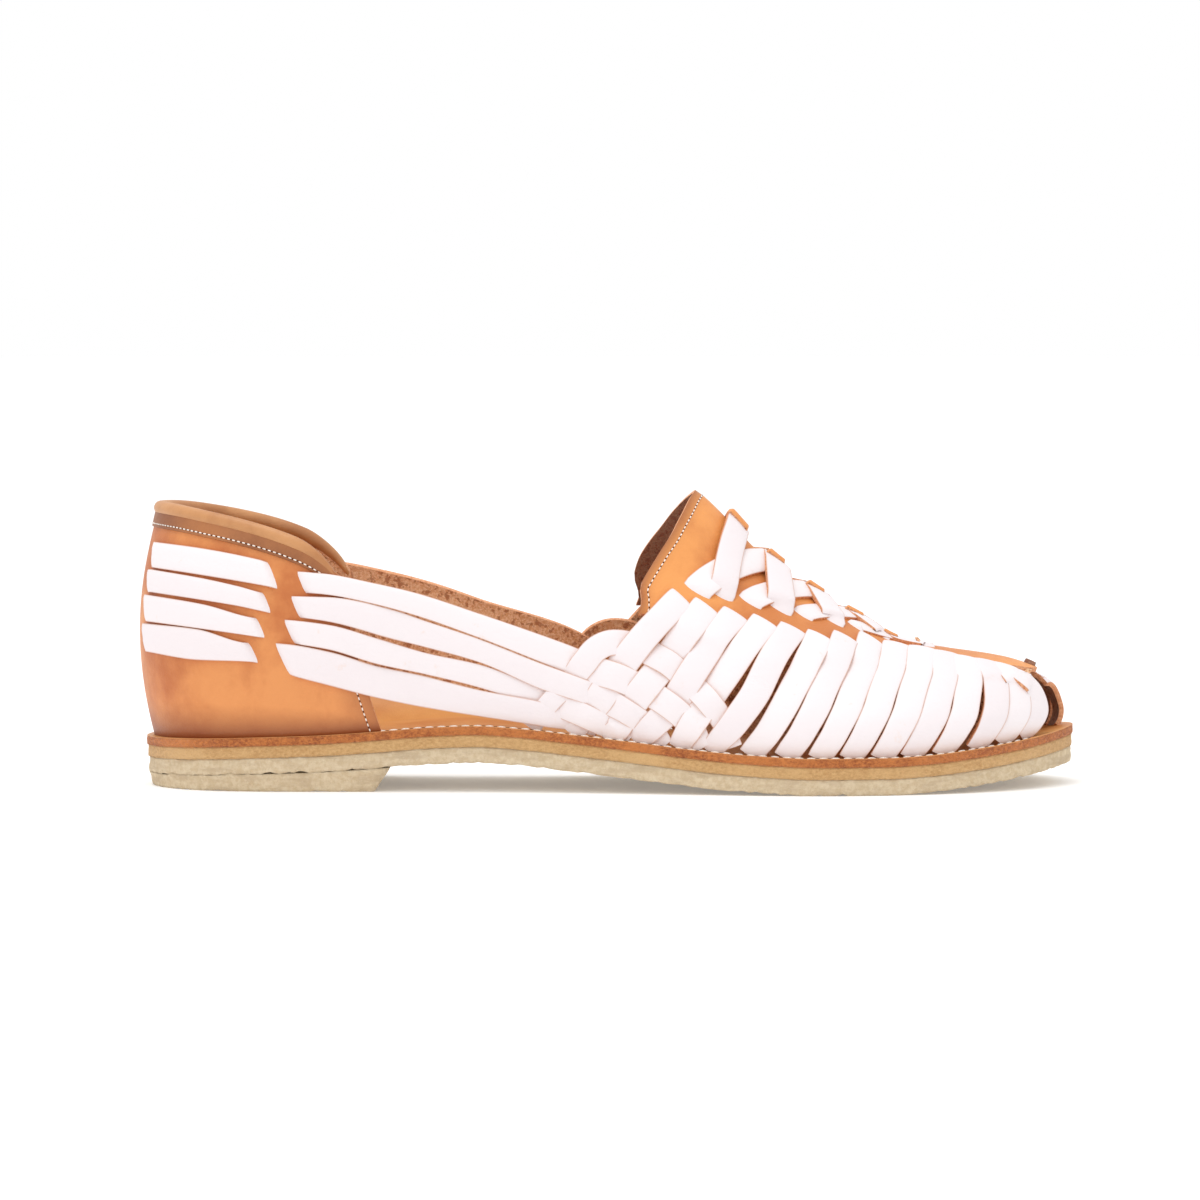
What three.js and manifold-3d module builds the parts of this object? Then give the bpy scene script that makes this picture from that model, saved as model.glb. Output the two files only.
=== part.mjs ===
import * as THREE from "three";
import { mergeVertices } from "three/addons/utils/BufferGeometryUtils.js";
import Module from "manifold-3d";

// Woven huarache, right shoe. Millimetres, +X to the toe, +Y to the inner side, +Z up.

// Sole
const LENGTH = 265;
const BALL_WIDTH = 92;
const ARCH_RISE = 8.2;
const OUTSOLE_THICKNESS = 4.6;
const MIDSOLE_THICKNESS = 3.4;
const INSOLE_THICKNESS = 2.4;
const MIDSOLE_INSET = 0.3;
const OUTSOLE_INSET = 0.6;
const LIFT_INSET = 1.4;
const LIFT_SHARE = 0.248;
const BREAST_SLOPE = 4.6;
const FEATHER_MARGIN = 5;
const GLUE = 0.05;
const SOLE_STATIONS = 48;
const LIFT_STATIONS = 16;

// Upper
const INSTEP_HEIGHT = 83.3;
const CREST_SHIFT = 4;
const HEEL_BULGE = 6.6;
const SIDE_BULGE = 3;
const BULGE_RISE = 0.3;
const BULGE_EASE = 2.2;
const NEAR_CREST = 0.985;
const ROUNDNESS = 1.2;
const FULLNESS = 0.97;
const RIB_LENGTH = 60;
const STRIP = 1.4;
const PANEL = 1.4;
const GAP = 0.45;
const SLOT_GROW = 0.2;
const ROLL_RADIUS = 2.1;
const ROLL_BAND = 3.4;
const BAND_WALL = 1.1;
const SEAT_GAP = 0.3;

// Strap layers, as offsets from the last: under a panel, the panel, over a panel
const UNDER = 0;
const PANEL_LAYER = UNDER + STRIP + GAP;
const OVER = PANEL_LAYER + PANEL + GAP;
const CROSSED = 1.25;
const TAB_LAYER = OVER + CROSSED + STRIP + GAP;
const SKIN = PANEL_LAYER + PANEL;
const FOOT_LIFT = 0.3;

// Side view of the shoe on a grid of 927 steps along the sole
const GRID_STEPS = 927;
const GRID_MIDDLE = 610.5;
const GRID_FLOOR = 783.6;
const GRID_INSTEP = 291.6;
const VIEW_DISTANCE = 2000;
const VIEW_TILT = (3.5 * Math.PI) / 180;
const VIEW_AIM = 40;

// Steps of the solver that carries the grid onto the last
const GRID_RIBS = 60;
const GRID_RISES = 30;
const SOLVE_ROUNDS = 6;
const NUDGE = 0.003;
const TURN_LIMIT = 0.03;
const RISE_LIMIT = 0.06;
const HALVINGS = 18;

// Value of a table column on a smooth curve that keeps the rows' rises, falls and flats
const smooth = (rows, column, at) => {
  const last = rows.length - 1;
  if (at <= rows[0][0]) return rows[0][column];
  if (at >= rows[last][0]) return rows[last][column];
  let i = 0;
  while (rows[i + 1][0] < at) i++;
  const slope = (k) => {
    const p = (rows[k][column] - rows[k - 1][column]) / (rows[k][0] - rows[k - 1][0]);
    const q = (rows[k + 1][column] - rows[k][column]) / (rows[k + 1][0] - rows[k][0]);
    return p * q > 0 ? (2 * p * q) / (p + q) : 0;
  };
  const span = rows[i + 1][0] - rows[i][0];
  const t = (at - rows[i][0]) / span;
  const a = rows[i][column];
  const b = rows[i + 1][column];
  const va = i === 0 ? b - a : slope(i) * span;
  const vb = i + 1 === last ? b - a : slope(i + 1) * span;
  return a + t * (va + t * (3 * (b - a) - 2 * va - vb + t * (2 * (a - b) + va + vb)));
};

// Sole outline: turn share, outer half width, inner half width (shares of BALL_WIDTH)
const OUTLINE = [
  [0, 0, 0],
  [0.05, 0.109, 0.109],
  [0.1, 0.207, 0.207],
  [0.15, 0.284, 0.28],
  [0.2, 0.329, 0.318],
  [0.25, 0.347, 0.327],
  [0.3, 0.348, 0.318],
  [0.35, 0.349, 0.298],
  [0.4, 0.356, 0.28],
  [0.45, 0.376, 0.282],
  [0.5, 0.411, 0.318],
  [0.55, 0.456, 0.378],
  [0.6, 0.496, 0.44],
  [0.65, 0.507, 0.484],
  [0.7, 0.484, 0.5],
  [0.75, 0.431, 0.484],
  [0.8, 0.351, 0.442],
  [0.85, 0.253, 0.373],
  [0.9, 0.144, 0.282],
  [0.95, 0.04, 0.173],
  [1, -0.055, 0.055],
];

// Underside of the outsole: share of LENGTH, height (share of ARCH_RISE)
const UNDERSIDE = [
  [0, 0.44],
  [0.111, 0.585],
  [0.194, 0.68],
  [0.25, 0.8],
  [0.311, 0.95],
  [0.357, 1],
  [0.409, 0.9],
  [0.451, 0.756],
  [0.49, 0.62],
  [0.53, 0.476],
  [0.597, 0.232],
  [0.661, 0.073],
  [0.712, 0],
  [0.79, 0],
  [0.835, 0.06],
  [0.877, 0.183],
  [0.921, 0.354],
  [0.959, 0.537],
  [0.99, 0.72],
  [1, 0.78],
];

// Crown of the last: turn share of the rib's foot, position of its top (share of LENGTH from the heel)
const RIB_TOPS = [
  [0, 0.14],
  [0.1, 0.16],
  [0.2, 0.23],
  [0.3, 0.335],
  [0.4, 0.465],
  [0.49, 0.593],
  [0.55, 0.662],
  [0.6, 0.722],
  [0.65, 0.782],
  [0.7, 0.836],
  [0.75, 0.88],
  [0.8, 0.915],
  [0.85, 0.938],
  [0.9, 0.953],
  [0.95, 0.961],
  [1, 0.965],
];

// Crown height: share of LENGTH, share of INSTEP_HEIGHT
const CROWN = [
  [0.14, 1.45],
  [0.25, 1.4],
  [0.4, 1.27],
  [0.5, 1.135],
  [0.593, 0.968],
  [0.615, 0.903],
  [0.64, 0.816],
  [0.665, 0.738],
  [0.686, 0.687],
  [0.722, 0.607],
  [0.767, 0.527],
  [0.81, 0.454],
  [0.861, 0.43],
  [0.92, 0.401],
  [0.955, 0.363],
  [0.965, 0.34],
];

// Bulge of the last beyond the feather line: turn share, share of SIDE_BULGE
const BULGE = [
  [0, HEEL_BULGE / SIDE_BULGE],
  [0.1, 0.9 * (HEEL_BULGE / SIDE_BULGE)],
  [0.2, 1.9],
  [0.3, 1.4],
  [0.4, 1],
  [0.7, 1],
  [0.9, 1],
  [1, 0.8],
];

const underside = (x) => ARCH_RISE * smooth(UNDERSIDE, 1, x / LENGTH + 0.5);
const soleTop = (x) => underside(x) + OUTSOLE_THICKNESS + MIDSOLE_THICKNESS + INSOLE_THICKNESS;

// A point of the sole outline: turn share 0 at the heel to 1 at the toe; side -1 outer, +1 inner
const outlineAt = (turn, side, inset) => {
  const angle = Math.PI * turn;
  const x = -Math.cos(angle) * (LENGTH / 2 - inset);
  const half = BALL_WIDTH * smooth(OUTLINE, side < 0 ? 1 : 2, turn);
  const pull = inset * Math.sqrt(Math.sin(angle));
  return [x, side * (half - pull)];
};

// Foot of the upper: w from -1 (toe, outer) over 0 (heel) to 1 (toe, inner)
const footAt = (w, inset) => outlineAt(Math.abs(w), w < 0 ? -1 : 1, inset);

const FOOT_STEP = 0.01;
const wrap = (w) => (w > 1 ? w - 2 : w < -1 ? w + 2 : w);

// A point of the last: along the foot line, and rise from 0 at the foot to 1 at the crown
const lastPoint = (along, rise) => {
  const w = wrap(along);
  const u = Math.abs(w);
  const h = Math.max(0, Math.min(1, rise));
  const [fx, fy] = footAt(w, FEATHER_MARGIN);
  const before = footAt(wrap(w - FOOT_STEP), FEATHER_MARGIN);
  const after = footAt(wrap(w + FOOT_STEP), FEATHER_MARGIN);
  const tx = after[0] - before[0];
  const ty = after[1] - before[1];
  const size = Math.hypot(tx, ty);
  const share = smooth(RIB_TOPS, 1, u);
  const crownX = (share - 0.5) * LENGTH;
  const crownZ = INSTEP_HEIGHT * smooth(CROWN, 1, share);
  const angle = (h * Math.PI) / 2;
  const left = Math.cos(angle) ** ROUNDNESS;
  const up = Math.sin(angle) ** FULLNESS;
  const start = 1 - (1 - Math.min(1, h / BULGE_RISE)) ** BULGE_EASE;
  const bulge = SIDE_BULGE * smooth(BULGE, 1, u) * start * Math.sqrt(Math.cos(angle));
  const foot = soleTop(fx) + SEAT_GAP;
  return [
    crownX + (fx - crownX) * left - (ty / size) * bulge,
    CREST_SHIFT + (fy - CREST_SHIFT) * left + (tx / size) * bulge,
    foot + (crownZ - foot) * up,
  ];
};

const minus = (a, b) => [a[0] - b[0], a[1] - b[1], a[2] - b[2]];
const cross = (a, b) => [
  a[1] * b[2] - a[2] * b[1],
  a[2] * b[0] - a[0] * b[2],
  a[0] * b[1] - a[1] * b[0],
];

// A point lifted off the last along its outward normal
const LEAST_RISE = 0.002;
const raised = (w, rise, lift) => {
  const h = Math.max(LEAST_RISE, Math.min(NEAR_CREST, rise));
  const p = lastPoint(w, rise);
  const along = minus(lastPoint(w + NUDGE, h), lastPoint(w - NUDGE, h));
  const up = minus(lastPoint(w, h + 1 - NEAR_CREST), lastPoint(w, h - LEAST_RISE));
  const n = cross(up, along);
  const size = Math.hypot(...n);
  return [p[0] + (n[0] / size) * lift, p[1] + (n[1] / size) * lift, p[2] + (n[2] / size) * lift];
};

// Place on the side-view grid of a point on the outer side of the leather
const seen = (u, h) => {
  const [x, y, z] = raised(-u, h, SKIN * h);
  const c = Math.cos(VIEW_TILT);
  const s = Math.sin(VIEW_TILT);
  const k = VIEW_DISTANCE / (VIEW_DISTANCE + y * c - (z - VIEW_AIM) * s);
  const across = (x * k * GRID_STEPS) / LENGTH;
  const high = VIEW_AIM + ((z - VIEW_AIM) * c + y * s) * k;
  return [GRID_MIDDLE + across, GRID_FLOOR - (high * GRID_INSTEP) / INSTEP_HEIGHT];
};

// The share from 0 to 1 at which below(share) turns false
const turningPoint = (below) => {
  let low = 0;
  let high = 1;
  for (let i = 0; i < HALVINGS; i++) {
    const share = (low + high) / 2;
    if (below(share)) low = share;
    else high = share;
  }
  return (low + high) / 2;
};

// Rise on rib u at which the outer side meets a line of the side view, given as table rows
const riseFor = (u, rows, column) =>
  turningPoint((h) => {
    const [gx, gy] = seen(u, h);
    return gy > smooth(rows, column, gx);
  });

// Turn share of the rib whose top stands at a share of the length
const crestTurn = (share) => turningPoint((u) => smooth(RIB_TOPS, 1, u) < share);

const GRID = [];
for (let i = 0; i <= GRID_RIBS; i++) {
  for (let j = 0; j <= GRID_RISES; j++) {
    const [u, h] = [i / GRID_RIBS, j / GRID_RISES];
    GRID.push([u, h, ...seen(u, h)]);
  }
}

// The rib and rise whose point is seen at a place on the side-view grid
const onSide = (gx, gy) => {
  let best = GRID[0];
  let least = Infinity;
  for (const g of GRID) {
    const d = (g[2] - gx) ** 2 + (g[3] - gy) ** 2;
    if (d < least) {
      least = d;
      best = g;
    }
  }
  let [u, h] = best;
  for (let i = 0; i < SOLVE_ROUNDS; i++) {
    const [x, y] = seen(u, h);
    const du = u > 0.5 ? -NUDGE : NUDGE;
    const dh = h > 0.5 ? -NUDGE : NUDGE;
    const [ux, uy] = seen(u + du, h);
    const [hx, hy] = seen(u, h + dh);
    const a = (ux - x) / du;
    const b = (hx - x) / dh;
    const c = (uy - y) / du;
    const d = (hy - y) / dh;
    const det = a * d - b * c;
    if (Math.abs(det) < 1) break;
    const stepU = ((gx - x) * d - (gy - y) * b) / det;
    const stepH = ((gy - y) * a - (gx - x) * c) / det;
    const size = Math.max(1, Math.abs(stepU) / TURN_LIMIT, Math.abs(stepH) / RISE_LIMIT);
    u = Math.max(0, Math.min(1, u + stepU / size));
    h = Math.max(0, Math.min(1, h + stepH / size));
  }
  return [u, h];
};

const wasm = await Module();
wasm.setup();

// A solid from a geometry's triangles
const toManifold = (geometry) => {
  geometry.deleteAttribute("normal");
  geometry.deleteAttribute("uv");
  const merged = mergeVertices(geometry, 1e-5);
  const index = merged.index.array;
  const kept = [];
  for (let i = 0; i < index.length; i += 3) {
    const [a, b, c] = [index[i], index[i + 1], index[i + 2]];
    if (a !== b && b !== c && a !== c) kept.push(a, b, c);
  }
  return new wasm.Manifold(
    new wasm.Mesh({
      numProp: 3,
      vertProperties: merged.attributes.position.array,
      triVerts: new Uint32Array(kept),
    }),
  );
};

// Closed solid through a row of rings of equal count, with flat ends
const ringSolid = (rings) => {
  const m = rings[0].length;
  const points = rings.flat(2);
  const faces = [];
  for (let i = 0; i + 1 < rings.length; i++) {
    for (let j = 0; j < m; j++) {
      const a = i * m + j;
      const b = i * m + ((j + 1) % m);
      faces.push(a, b, b + m, a, b + m, a + m);
    }
  }
  const end = (rings.length - 1) * m;
  for (let j = 1; j + 1 < m; j++) {
    faces.push(0, j + 1, j);
    faces.push(end, end + j, end + j + 1);
  }
  let volume = 0;
  const at = (k) => [points[3 * k], points[3 * k + 1], points[3 * k + 2]];
  for (let i = 0; i < faces.length; i += 3) {
    const [a, b, c] = [at(faces[i]), at(faces[i + 1]), at(faces[i + 2])];
    const n = cross(b, c);
    volume += a[0] * n[0] + a[1] * n[1] + a[2] * n[2];
  }
  if (volume < 0) {
    for (let i = 0; i < faces.length; i += 3) [faces[i], faces[i + 1]] = [faces[i + 1], faces[i]];
  }
  const geometry = new THREE.BufferGeometry();
  geometry.setAttribute("position", new THREE.Float32BufferAttribute(points, 3));
  geometry.setIndex(faces);
  return toManifold(geometry);
};

// Sole layer between two heights given as functions of x
const soleLayer = (inset, low, high) => {
  const rings = [];
  for (let i = 0; i <= SOLE_STATIONS; i++) {
    const turn = i / SOLE_STATIONS;
    const [x, outer] = outlineAt(turn, -1, inset);
    const [, inner] = outlineAt(turn, 1, inset);
    rings.push([
      [x, outer, low(x)],
      [x, outer, high(x)],
      [x, inner, high(x)],
      [x, inner, low(x)],
    ]);
  }
  return ringSolid(rings);
};

// Wedge under the heel, narrower at the floor, with a sloped front
const heelLift = () => {
  const rings = [];
  const count = LIFT_STATIONS;
  const end = Math.acos(1 - 2 * LIFT_SHARE) / Math.PI;
  for (let i = 0; i <= count; i++) {
    const turn = (end * i) / count;
    const [x, outer] = outlineAt(turn, -1, OUTSOLE_INSET);
    const [, inner] = outlineAt(turn, 1, OUTSOLE_INSET);
    const [bx, low] = outlineAt(turn, -1, LIFT_INSET);
    const [, far] = outlineAt(turn, 1, LIFT_INSET);
    const slope = i === count ? BREAST_SLOPE : 0;
    rings.push([
      [bx, low, 0],
      [x + slope, outer, underside(x + slope) - GLUE],
      [x + slope, inner, underside(x + slope) - GLUE],
      [bx, far, 0],
    ]);
  }
  return ringSolid(rings);
};

// Strap along a row of [w, rise of one edge, rise of the other, lift]; grow widens it for a slot
const strapAlong = (rows, grow) => {
  const rings = rows.map(([w, high, low, lift]) => {
    const spread = grow / RIB_LENGTH;
    const t = STRIP + grow;
    return [
      raised(w, high + spread, lift - grow),
      raised(w, high + spread, lift + t),
      raised(w, low - spread, lift + t),
      raised(w, low - spread, lift - grow),
    ];
  });
  return ringSolid(rings);
};

// Strip along a centre line in space, lying on the last with a width and a lift
const stripOver = (rows, grow) => {
  const rings = rows.map(([w, h, width, lift], i) => {
    const a = rows[Math.max(0, i - 1)];
    const b = rows[Math.min(rows.length - 1, i + 1)];
    const pa = raised(a[0], a[1], a[3]);
    const pb = raised(b[0], b[1], b[3]);
    const low = raised(w, h, lift - grow);
    const top = raised(w, h, lift + STRIP + grow);
    const n = minus(top, low);
    const side = cross(minus(pb, pa), n);
    const k = (width / 2 + grow) / Math.hypot(...side);
    const at = (p, s) => [p[0] + side[0] * s * k, p[1] + side[1] * s * k, p[2] + side[2] * s * k];
    return [at(low, -1), at(top, -1), at(top, 1), at(low, 1)];
  });
  return ringSolid(rings);
};

// Panel between two lifts over a grid of [w, h] places
const panel = (places, low, high) => {
  const rows = places.length;
  const columns = places[0].length;
  const points = [];
  for (const lift of [low, high]) {
    for (const row of places) for (const [w, h] of row) points.push(...raised(w, h, lift));
  }
  const faces = [];
  const at = (layer, i, j) => (layer * rows + i) * columns + j;
  const quad = (a, b, c, d) => faces.push(a, b, c, a, c, d);
  for (let i = 0; i + 1 < rows; i++) {
    for (let j = 0; j + 1 < columns; j++) {
      quad(at(1, i, j), at(1, i, j + 1), at(1, i + 1, j + 1), at(1, i + 1, j));
      quad(at(0, i, j), at(0, i + 1, j), at(0, i + 1, j + 1), at(0, i, j + 1));
    }
  }
  for (let j = 0; j + 1 < columns; j++) {
    quad(at(0, 0, j), at(0, 0, j + 1), at(1, 0, j + 1), at(1, 0, j));
    const i = rows - 1;
    quad(at(1, i, j), at(1, i, j + 1), at(0, i, j + 1), at(0, i, j));
  }
  for (let i = 0; i + 1 < rows; i++) {
    quad(at(1, i, 0), at(1, i + 1, 0), at(0, i + 1, 0), at(0, i, 0));
    const j = columns - 1;
    quad(at(0, i, j), at(0, i + 1, j), at(1, i + 1, j), at(1, i, j));
  }
  const geometry = new THREE.BufferGeometry();
  geometry.setAttribute("position", new THREE.Float32BufferAttribute(points, 3));
  geometry.setIndex(faces);
  const solid = toManifold(geometry);
  if (solid.volume() > 0) return solid;
  for (let i = 0; i < faces.length; i += 3) [faces[i], faces[i + 1]] = [faces[i + 1], faces[i]];
  geometry.setIndex(faces);
  return toManifold(geometry);
};

// Straps round the heel and over the waist on the side-view grid: across, upper edge, lower edge
const STRAPS = [
  [
    [150, 541, 567],
    [202, 548, 575],
    [266, 561, 586],
    [285, 567, 590],
    [300, 571, 592],
    [330, 574, 595],
    [370, 582, 603],
    [415, 592, 615],
    [480, 613, 638],
    [530, 630, 658],
    [575, 645, 676],
  ],
  [
    [150, 569, 592],
    [202, 578, 600],
    [238, 586, 606],
    [261, 592, 611],
    [280, 594, 615],
    [296, 596, 617],
    [330, 597, 622],
    [392, 609, 639],
    [424, 620, 647],
    [480, 639, 663],
    [540, 663, 690],
    [581, 680, 702],
  ],
  [
    [143, 594, 621],
    [202, 604, 629],
    [257, 618, 637],
    [275, 619, 640],
    [290, 620, 643],
    [330, 625, 650],
    [376, 638, 664],
    [426, 653, 675],
    [480, 665, 689],
    [540, 688, 712],
    [562, 698, 716],
  ],
  [
    [141, 623, 651],
    [196, 629, 660],
    [250, 643, 662],
    [265, 643, 667],
    [285, 644, 674],
    [330, 652, 686],
    [376, 666, 698],
    [422, 676, 708],
    [480, 691, 718],
    [545, 702, 727],
    [565, 714, 731],
  ],
];

// How far the slots of each strap, past the heel's curve, sit back from those of the first
const HEEL_CURVE = 200;
const SLOT_BACK = [0, 6, 11, 18];

// Turn share at which each strap ends in the plait
const STRAP_REACH = [0.4, 0.4, 0.4, 0.455];

// Lift of a strap at the counter: across, lift
const STRAP_LIFT = [
  [140, UNDER],
  [150, UNDER],
  [164, OVER],
  [256, OVER],
  [272, UNDER],
  [288, UNDER],
  [306, OVER],
  [372, OVER],
  [420, 2.2],
  [500, 1.4],
];

// Collar line: across (share of LENGTH), height (share of INSTEP_HEIGHT)
const COLLAR = [
  [0.011, 0.942],
  [0.04, 0.934],
  [0.079, 0.911],
  [0.118, 0.882],
  [0.165, 0.832],
  [0.198, 0.774],
  [0.214, 0.73],
];
const FRONT_LOW = 0.331;
const FRONT_TOP = 0.284;

// Plaited strips on the side-view grid: across, height, width, lift
const BRAID = [
  [
    [470, 622, 7, 1.4],
    [530, 644, 7.5, 1.2],
    [556, 656, 8, 0.6],
    [581, 668, 8, 0],
    [614, 676, 8, CROSSED],
    [644, 690, 7.5, 0],
    [671, 707, 7.5, CROSSED],
    [691, 726, 7, 0],
    [703, 748, 6, 0.5],
  ],
  [
    [470, 648, 7.2, 1.4],
    [530, 671, 7.5, 1.2],
    [568, 685, 7.5, CROSSED],
    [600, 698, 7.5, 0],
    [626, 712, 7, CROSSED],
    [650, 729, 7, 0],
    [664, 748, 6, 0.3],
  ],
  [
    [470, 674, 7, 1.2],
    [520, 690, 6.5, 0.6],
    [551, 702, 6.5, 0],
    [586, 717, 7, CROSSED],
    [617, 733, 6, 0],
    [628, 745, 5, 0.3],
  ],
  [
    [530, 728, 6, 0],
    [551, 701, 6, CROSSED],
    [568, 684, 6.5, 0],
    [583, 664, 7.5, CROSSED],
    [597, 648, 7.5, CROSSED],
    [615, 642, 7.5, 0.8],
    [636, 646, 7.5, 0],
    [666, 661, 7.5, CROSSED],
    [687, 680, 7, 0],
    [708, 701, 7, CROSSED],
    [722, 721, 6.5, 0],
    [732, 748, 6, 0.3],
  ],
];

// Side strips up to the instep panel on the side-view grid: across, height, width, lift
const RISERS = [
  [
    [572, 740, 6, 0.3],
    [586, 717, 7, 0],
    [600, 698, 7, CROSSED],
    [614, 676, 7.5, 0],
    [630, 654, 8, CROSSED],
    [648, 632, 8, 2.2],
    [660, 618, 8, OVER],
    [672, 603, 8, OVER],
  ],
  [
    [604, 745, 6, 0.3],
    [617, 730, 6, CROSSED],
    [626, 712, 7, 0],
    [644, 688, 7, CROSSED],
    [666, 661, 7.5, 0],
    [680, 640, 8, 2],
    [691, 625, 8, OVER],
    [700, 610, 8, OVER],
  ],
  [
    [636, 748, 6, 0.3],
    [650, 729, 6.5, CROSSED],
    [671, 707, 7, 0],
    [687, 681, 7, CROSSED],
    [706, 652, 8, 1.8],
    [718, 634, 8, OVER],
    [730, 619, 8, OVER],
  ],
  [
    [678, 754, 6, 0.3],
    [691, 726, 6.5, CROSSED],
    [708, 701, 7, 0],
    [730, 668, 8, CROSSED],
    [748, 642, 8, OVER],
    [760, 625, 8, OVER],
  ],
  [
    [710, 758, 6, 0.3],
    [735, 722, 7, CROSSED],
    [758, 688, 8, 1.4],
    [776, 652, 8, OVER],
    [787, 632, 8, OVER],
  ],
];

// Strips of the forepart: foot across, foot height, bow, top across, top height
const FOREPART = [
  [750, 762, 3, 815, 639],
  [785, 763, 4, 841, 640],
  [819, 763, 5, 867, 641],
  [850, 763, 6, 892, 646],
  [881, 762, 8, 917, 650],
  [910, 760, 10, 942, 652.5],
  [941, 756, 13, 966, 656],
  [975, 750, 16, 988, 660],
  [1003, 744, 18, 1007, 664],
  [1027, 738, 20, 1022, 669.5],
];
// Two more strips close the inner side of the toe: foot and top as turn shares of the foot line
const TOE_RISES = [0, 0.2, 0.4, 0.6, 0.75];
const TOE_STRIPS = [
  [0.925, 0.9],
  [0.965, 0.93],
];

// Lift of a forepart strip: share of its way up, lift
const FOREPART_LIFTS = [
  [0, FOOT_LIFT],
  [0.25, 0.6],
  [0.5, 1],
  [0.75, 2],
  [0.88, OVER],
  [1, OVER],
];
const FOREPART_WIDTH = 7.6;
const FOREPART_FOOT_WIDTH = 6.8;

// Inner slots of the instep panel on the side-view grid: across, height
const INNER_SLOTS = [
  [694, 587],
  [720, 596],
  [750, 603],
  [778, 610],
  [803, 616],
  [832, 622],
  [856, 627],
  [880, 635],
  [903, 641],
  [926, 646],
];
const LATTICE_WIDTH = 7.2;
const SLOT_DIP = 0.05;
const LACE_STEPS = 4;

// Shares of the way on from a strip's top at which it lies under the panel
const UNDER_PANEL = 0.4;
const TOP_TUCKS = [0.25, 0.5];

// Edge of the instep panel under the strips: across, height
const PANEL_EDGE = [
  [640, 612],
  [686, 615],
  [715, 629],
  [747, 638],
  [773, 644],
  [801, 650],
  [829, 652],
  [853, 655],
  [881, 657],
  [903, 661],
  [930, 664],
  [956, 664],
  [983, 666.5],
  [1010, 669],
  [1045, 682],
];

// Throat edge of the instep panel: rise, turn share
const THROAT = 0.4985;
const PANEL_START = [
  [0.4, 0.507],
  [0.43, 0.503],
  [0.46, THROAT],
  [0.65, THROAT],
  [0.78, 0.495],
  [0.94, 0.4873],
  [1, 0.485],
];
const PANEL_END = 0.9;

// Tabs along the crest: places (share of LENGTH), then shift (share of LENGTH) and lift of each row
const TABS = [0.634, 0.677, 0.722, 0.767, 0.806];
const TAB_WIDTH = 4;
const TAB_ROWS = [
  [-0.017, PANEL_LAYER],
  [-0.0136, (PANEL_LAYER + TAB_LAYER) / 2],
  [-0.0102, TAB_LAYER],
  [0.0102, TAB_LAYER],
  [0.0136, (PANEL_LAYER + TAB_LAYER) / 2],
  [0.017, PANEL_LAYER],
];

// The largest body of a union
const joined = (solids) => {
  const whole = wasm.Manifold.union(solids);
  const bodies = whole.decompose();
  return bodies.reduce((a, b) => (b.volume() > a.volume() ? b : a));
};

// Rows of the side-view grid carried onto one side of the last
const onto = (rows, side) =>
  rows.map(([gx, gy, ...rest]) => {
    const [u, h] = onSide(gx, gy);
    return [side * u, h, ...rest];
  });

// One half of a strap, from the back of the heel, as rows for strapAlong
const STRAP_STATIONS = 22;
const strapRows = (k, side) => {
  const rows = [];
  for (let i = 0; i <= STRAP_STATIONS; i++) {
    const u = (STRAP_REACH[k] * i) / STRAP_STATIONS;
    const high = riseFor(u, STRAPS[k], 1);
    const low = riseFor(u, STRAPS[k], 2);
    const [gx] = seen(u, (high + low) / 2);
    const back = gx > HEEL_CURVE ? SLOT_BACK[k] : 0;
    rows.push([side * u, high, low, smooth(STRAP_LIFT, 1, gx + back)]);
  }
  return rows;
};

const straps = (grow) => {
  const solids = [];
  for (let k = 0; k < STRAPS.length; k++) {
    const outer = strapRows(k, -1).reverse();
    const inner = strapRows(k, 1).slice(1);
    solids.push(strapAlong([...outer, ...inner], grow));
  }
  return solids;
};

// Strips of the plait's front and the forepart, as rows of the side-view grid
const riserRoutes = () => {
  const routes = RISERS.map((rows) => rows.map((row) => [...row]));
  for (const [bx, by, bow, tx, ty] of FOREPART) {
    const at = (t, lift) => [
      bx + (tx - bx) * t + bow * 4 * t * (1 - t),
      by + (ty - by) * t,
      FOREPART_FOOT_WIDTH + (FOREPART_WIDTH - FOREPART_FOOT_WIDTH) * Math.min(1, 2 * t),
      lift,
    ];
    routes.push(FOREPART_LIFTS.map(([t, lift]) => at(t, lift)));
  }
  return routes;
};

// Each strip runs up one side, through the panel and over the crest to the other side
const crestLinks = () => {
  const links = [[1, 1, 0]];
  for (const k of [0, 2, 4, 6]) {
    links.push([k, k + 3, 0]);
    links.push([k + 3, k, 1]);
  }
  return links;
};

// A strip laced from a near slot over the crest into a far slot
const laceRows = (from, to, top) => {
  const straight = from === to;
  const crest = crestTurn(TABS[straight ? 0 : 1 + Math.min(from, to) / 2]);
  const near = !straight && (top || from % 2) ? OVER + CROSSED : OVER;
  const far = !straight && to % 2 ? OVER + CROSSED : OVER;
  const entry = (PANEL_LAYER + OVER) / 2;
  const half = (side, slot, lift) => {
    const [u, h] = onSide(...INNER_SLOTS[slot]);
    const rows = [[side * u, h - SLOT_DIP, LATTICE_WIDTH, UNDER]];
    for (let i = 0; i < LACE_STEPS; i++) {
      const t = i / LACE_STEPS;
      const turn = side * (u + (crest - u) * t);
      rows.push([turn, h + (1 - h) * t, LATTICE_WIDTH, i ? lift : entry]);
    }
    return rows;
  };
  return [...half(-1, from, near), ...half(1, to, far).reverse()];
};

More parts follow.
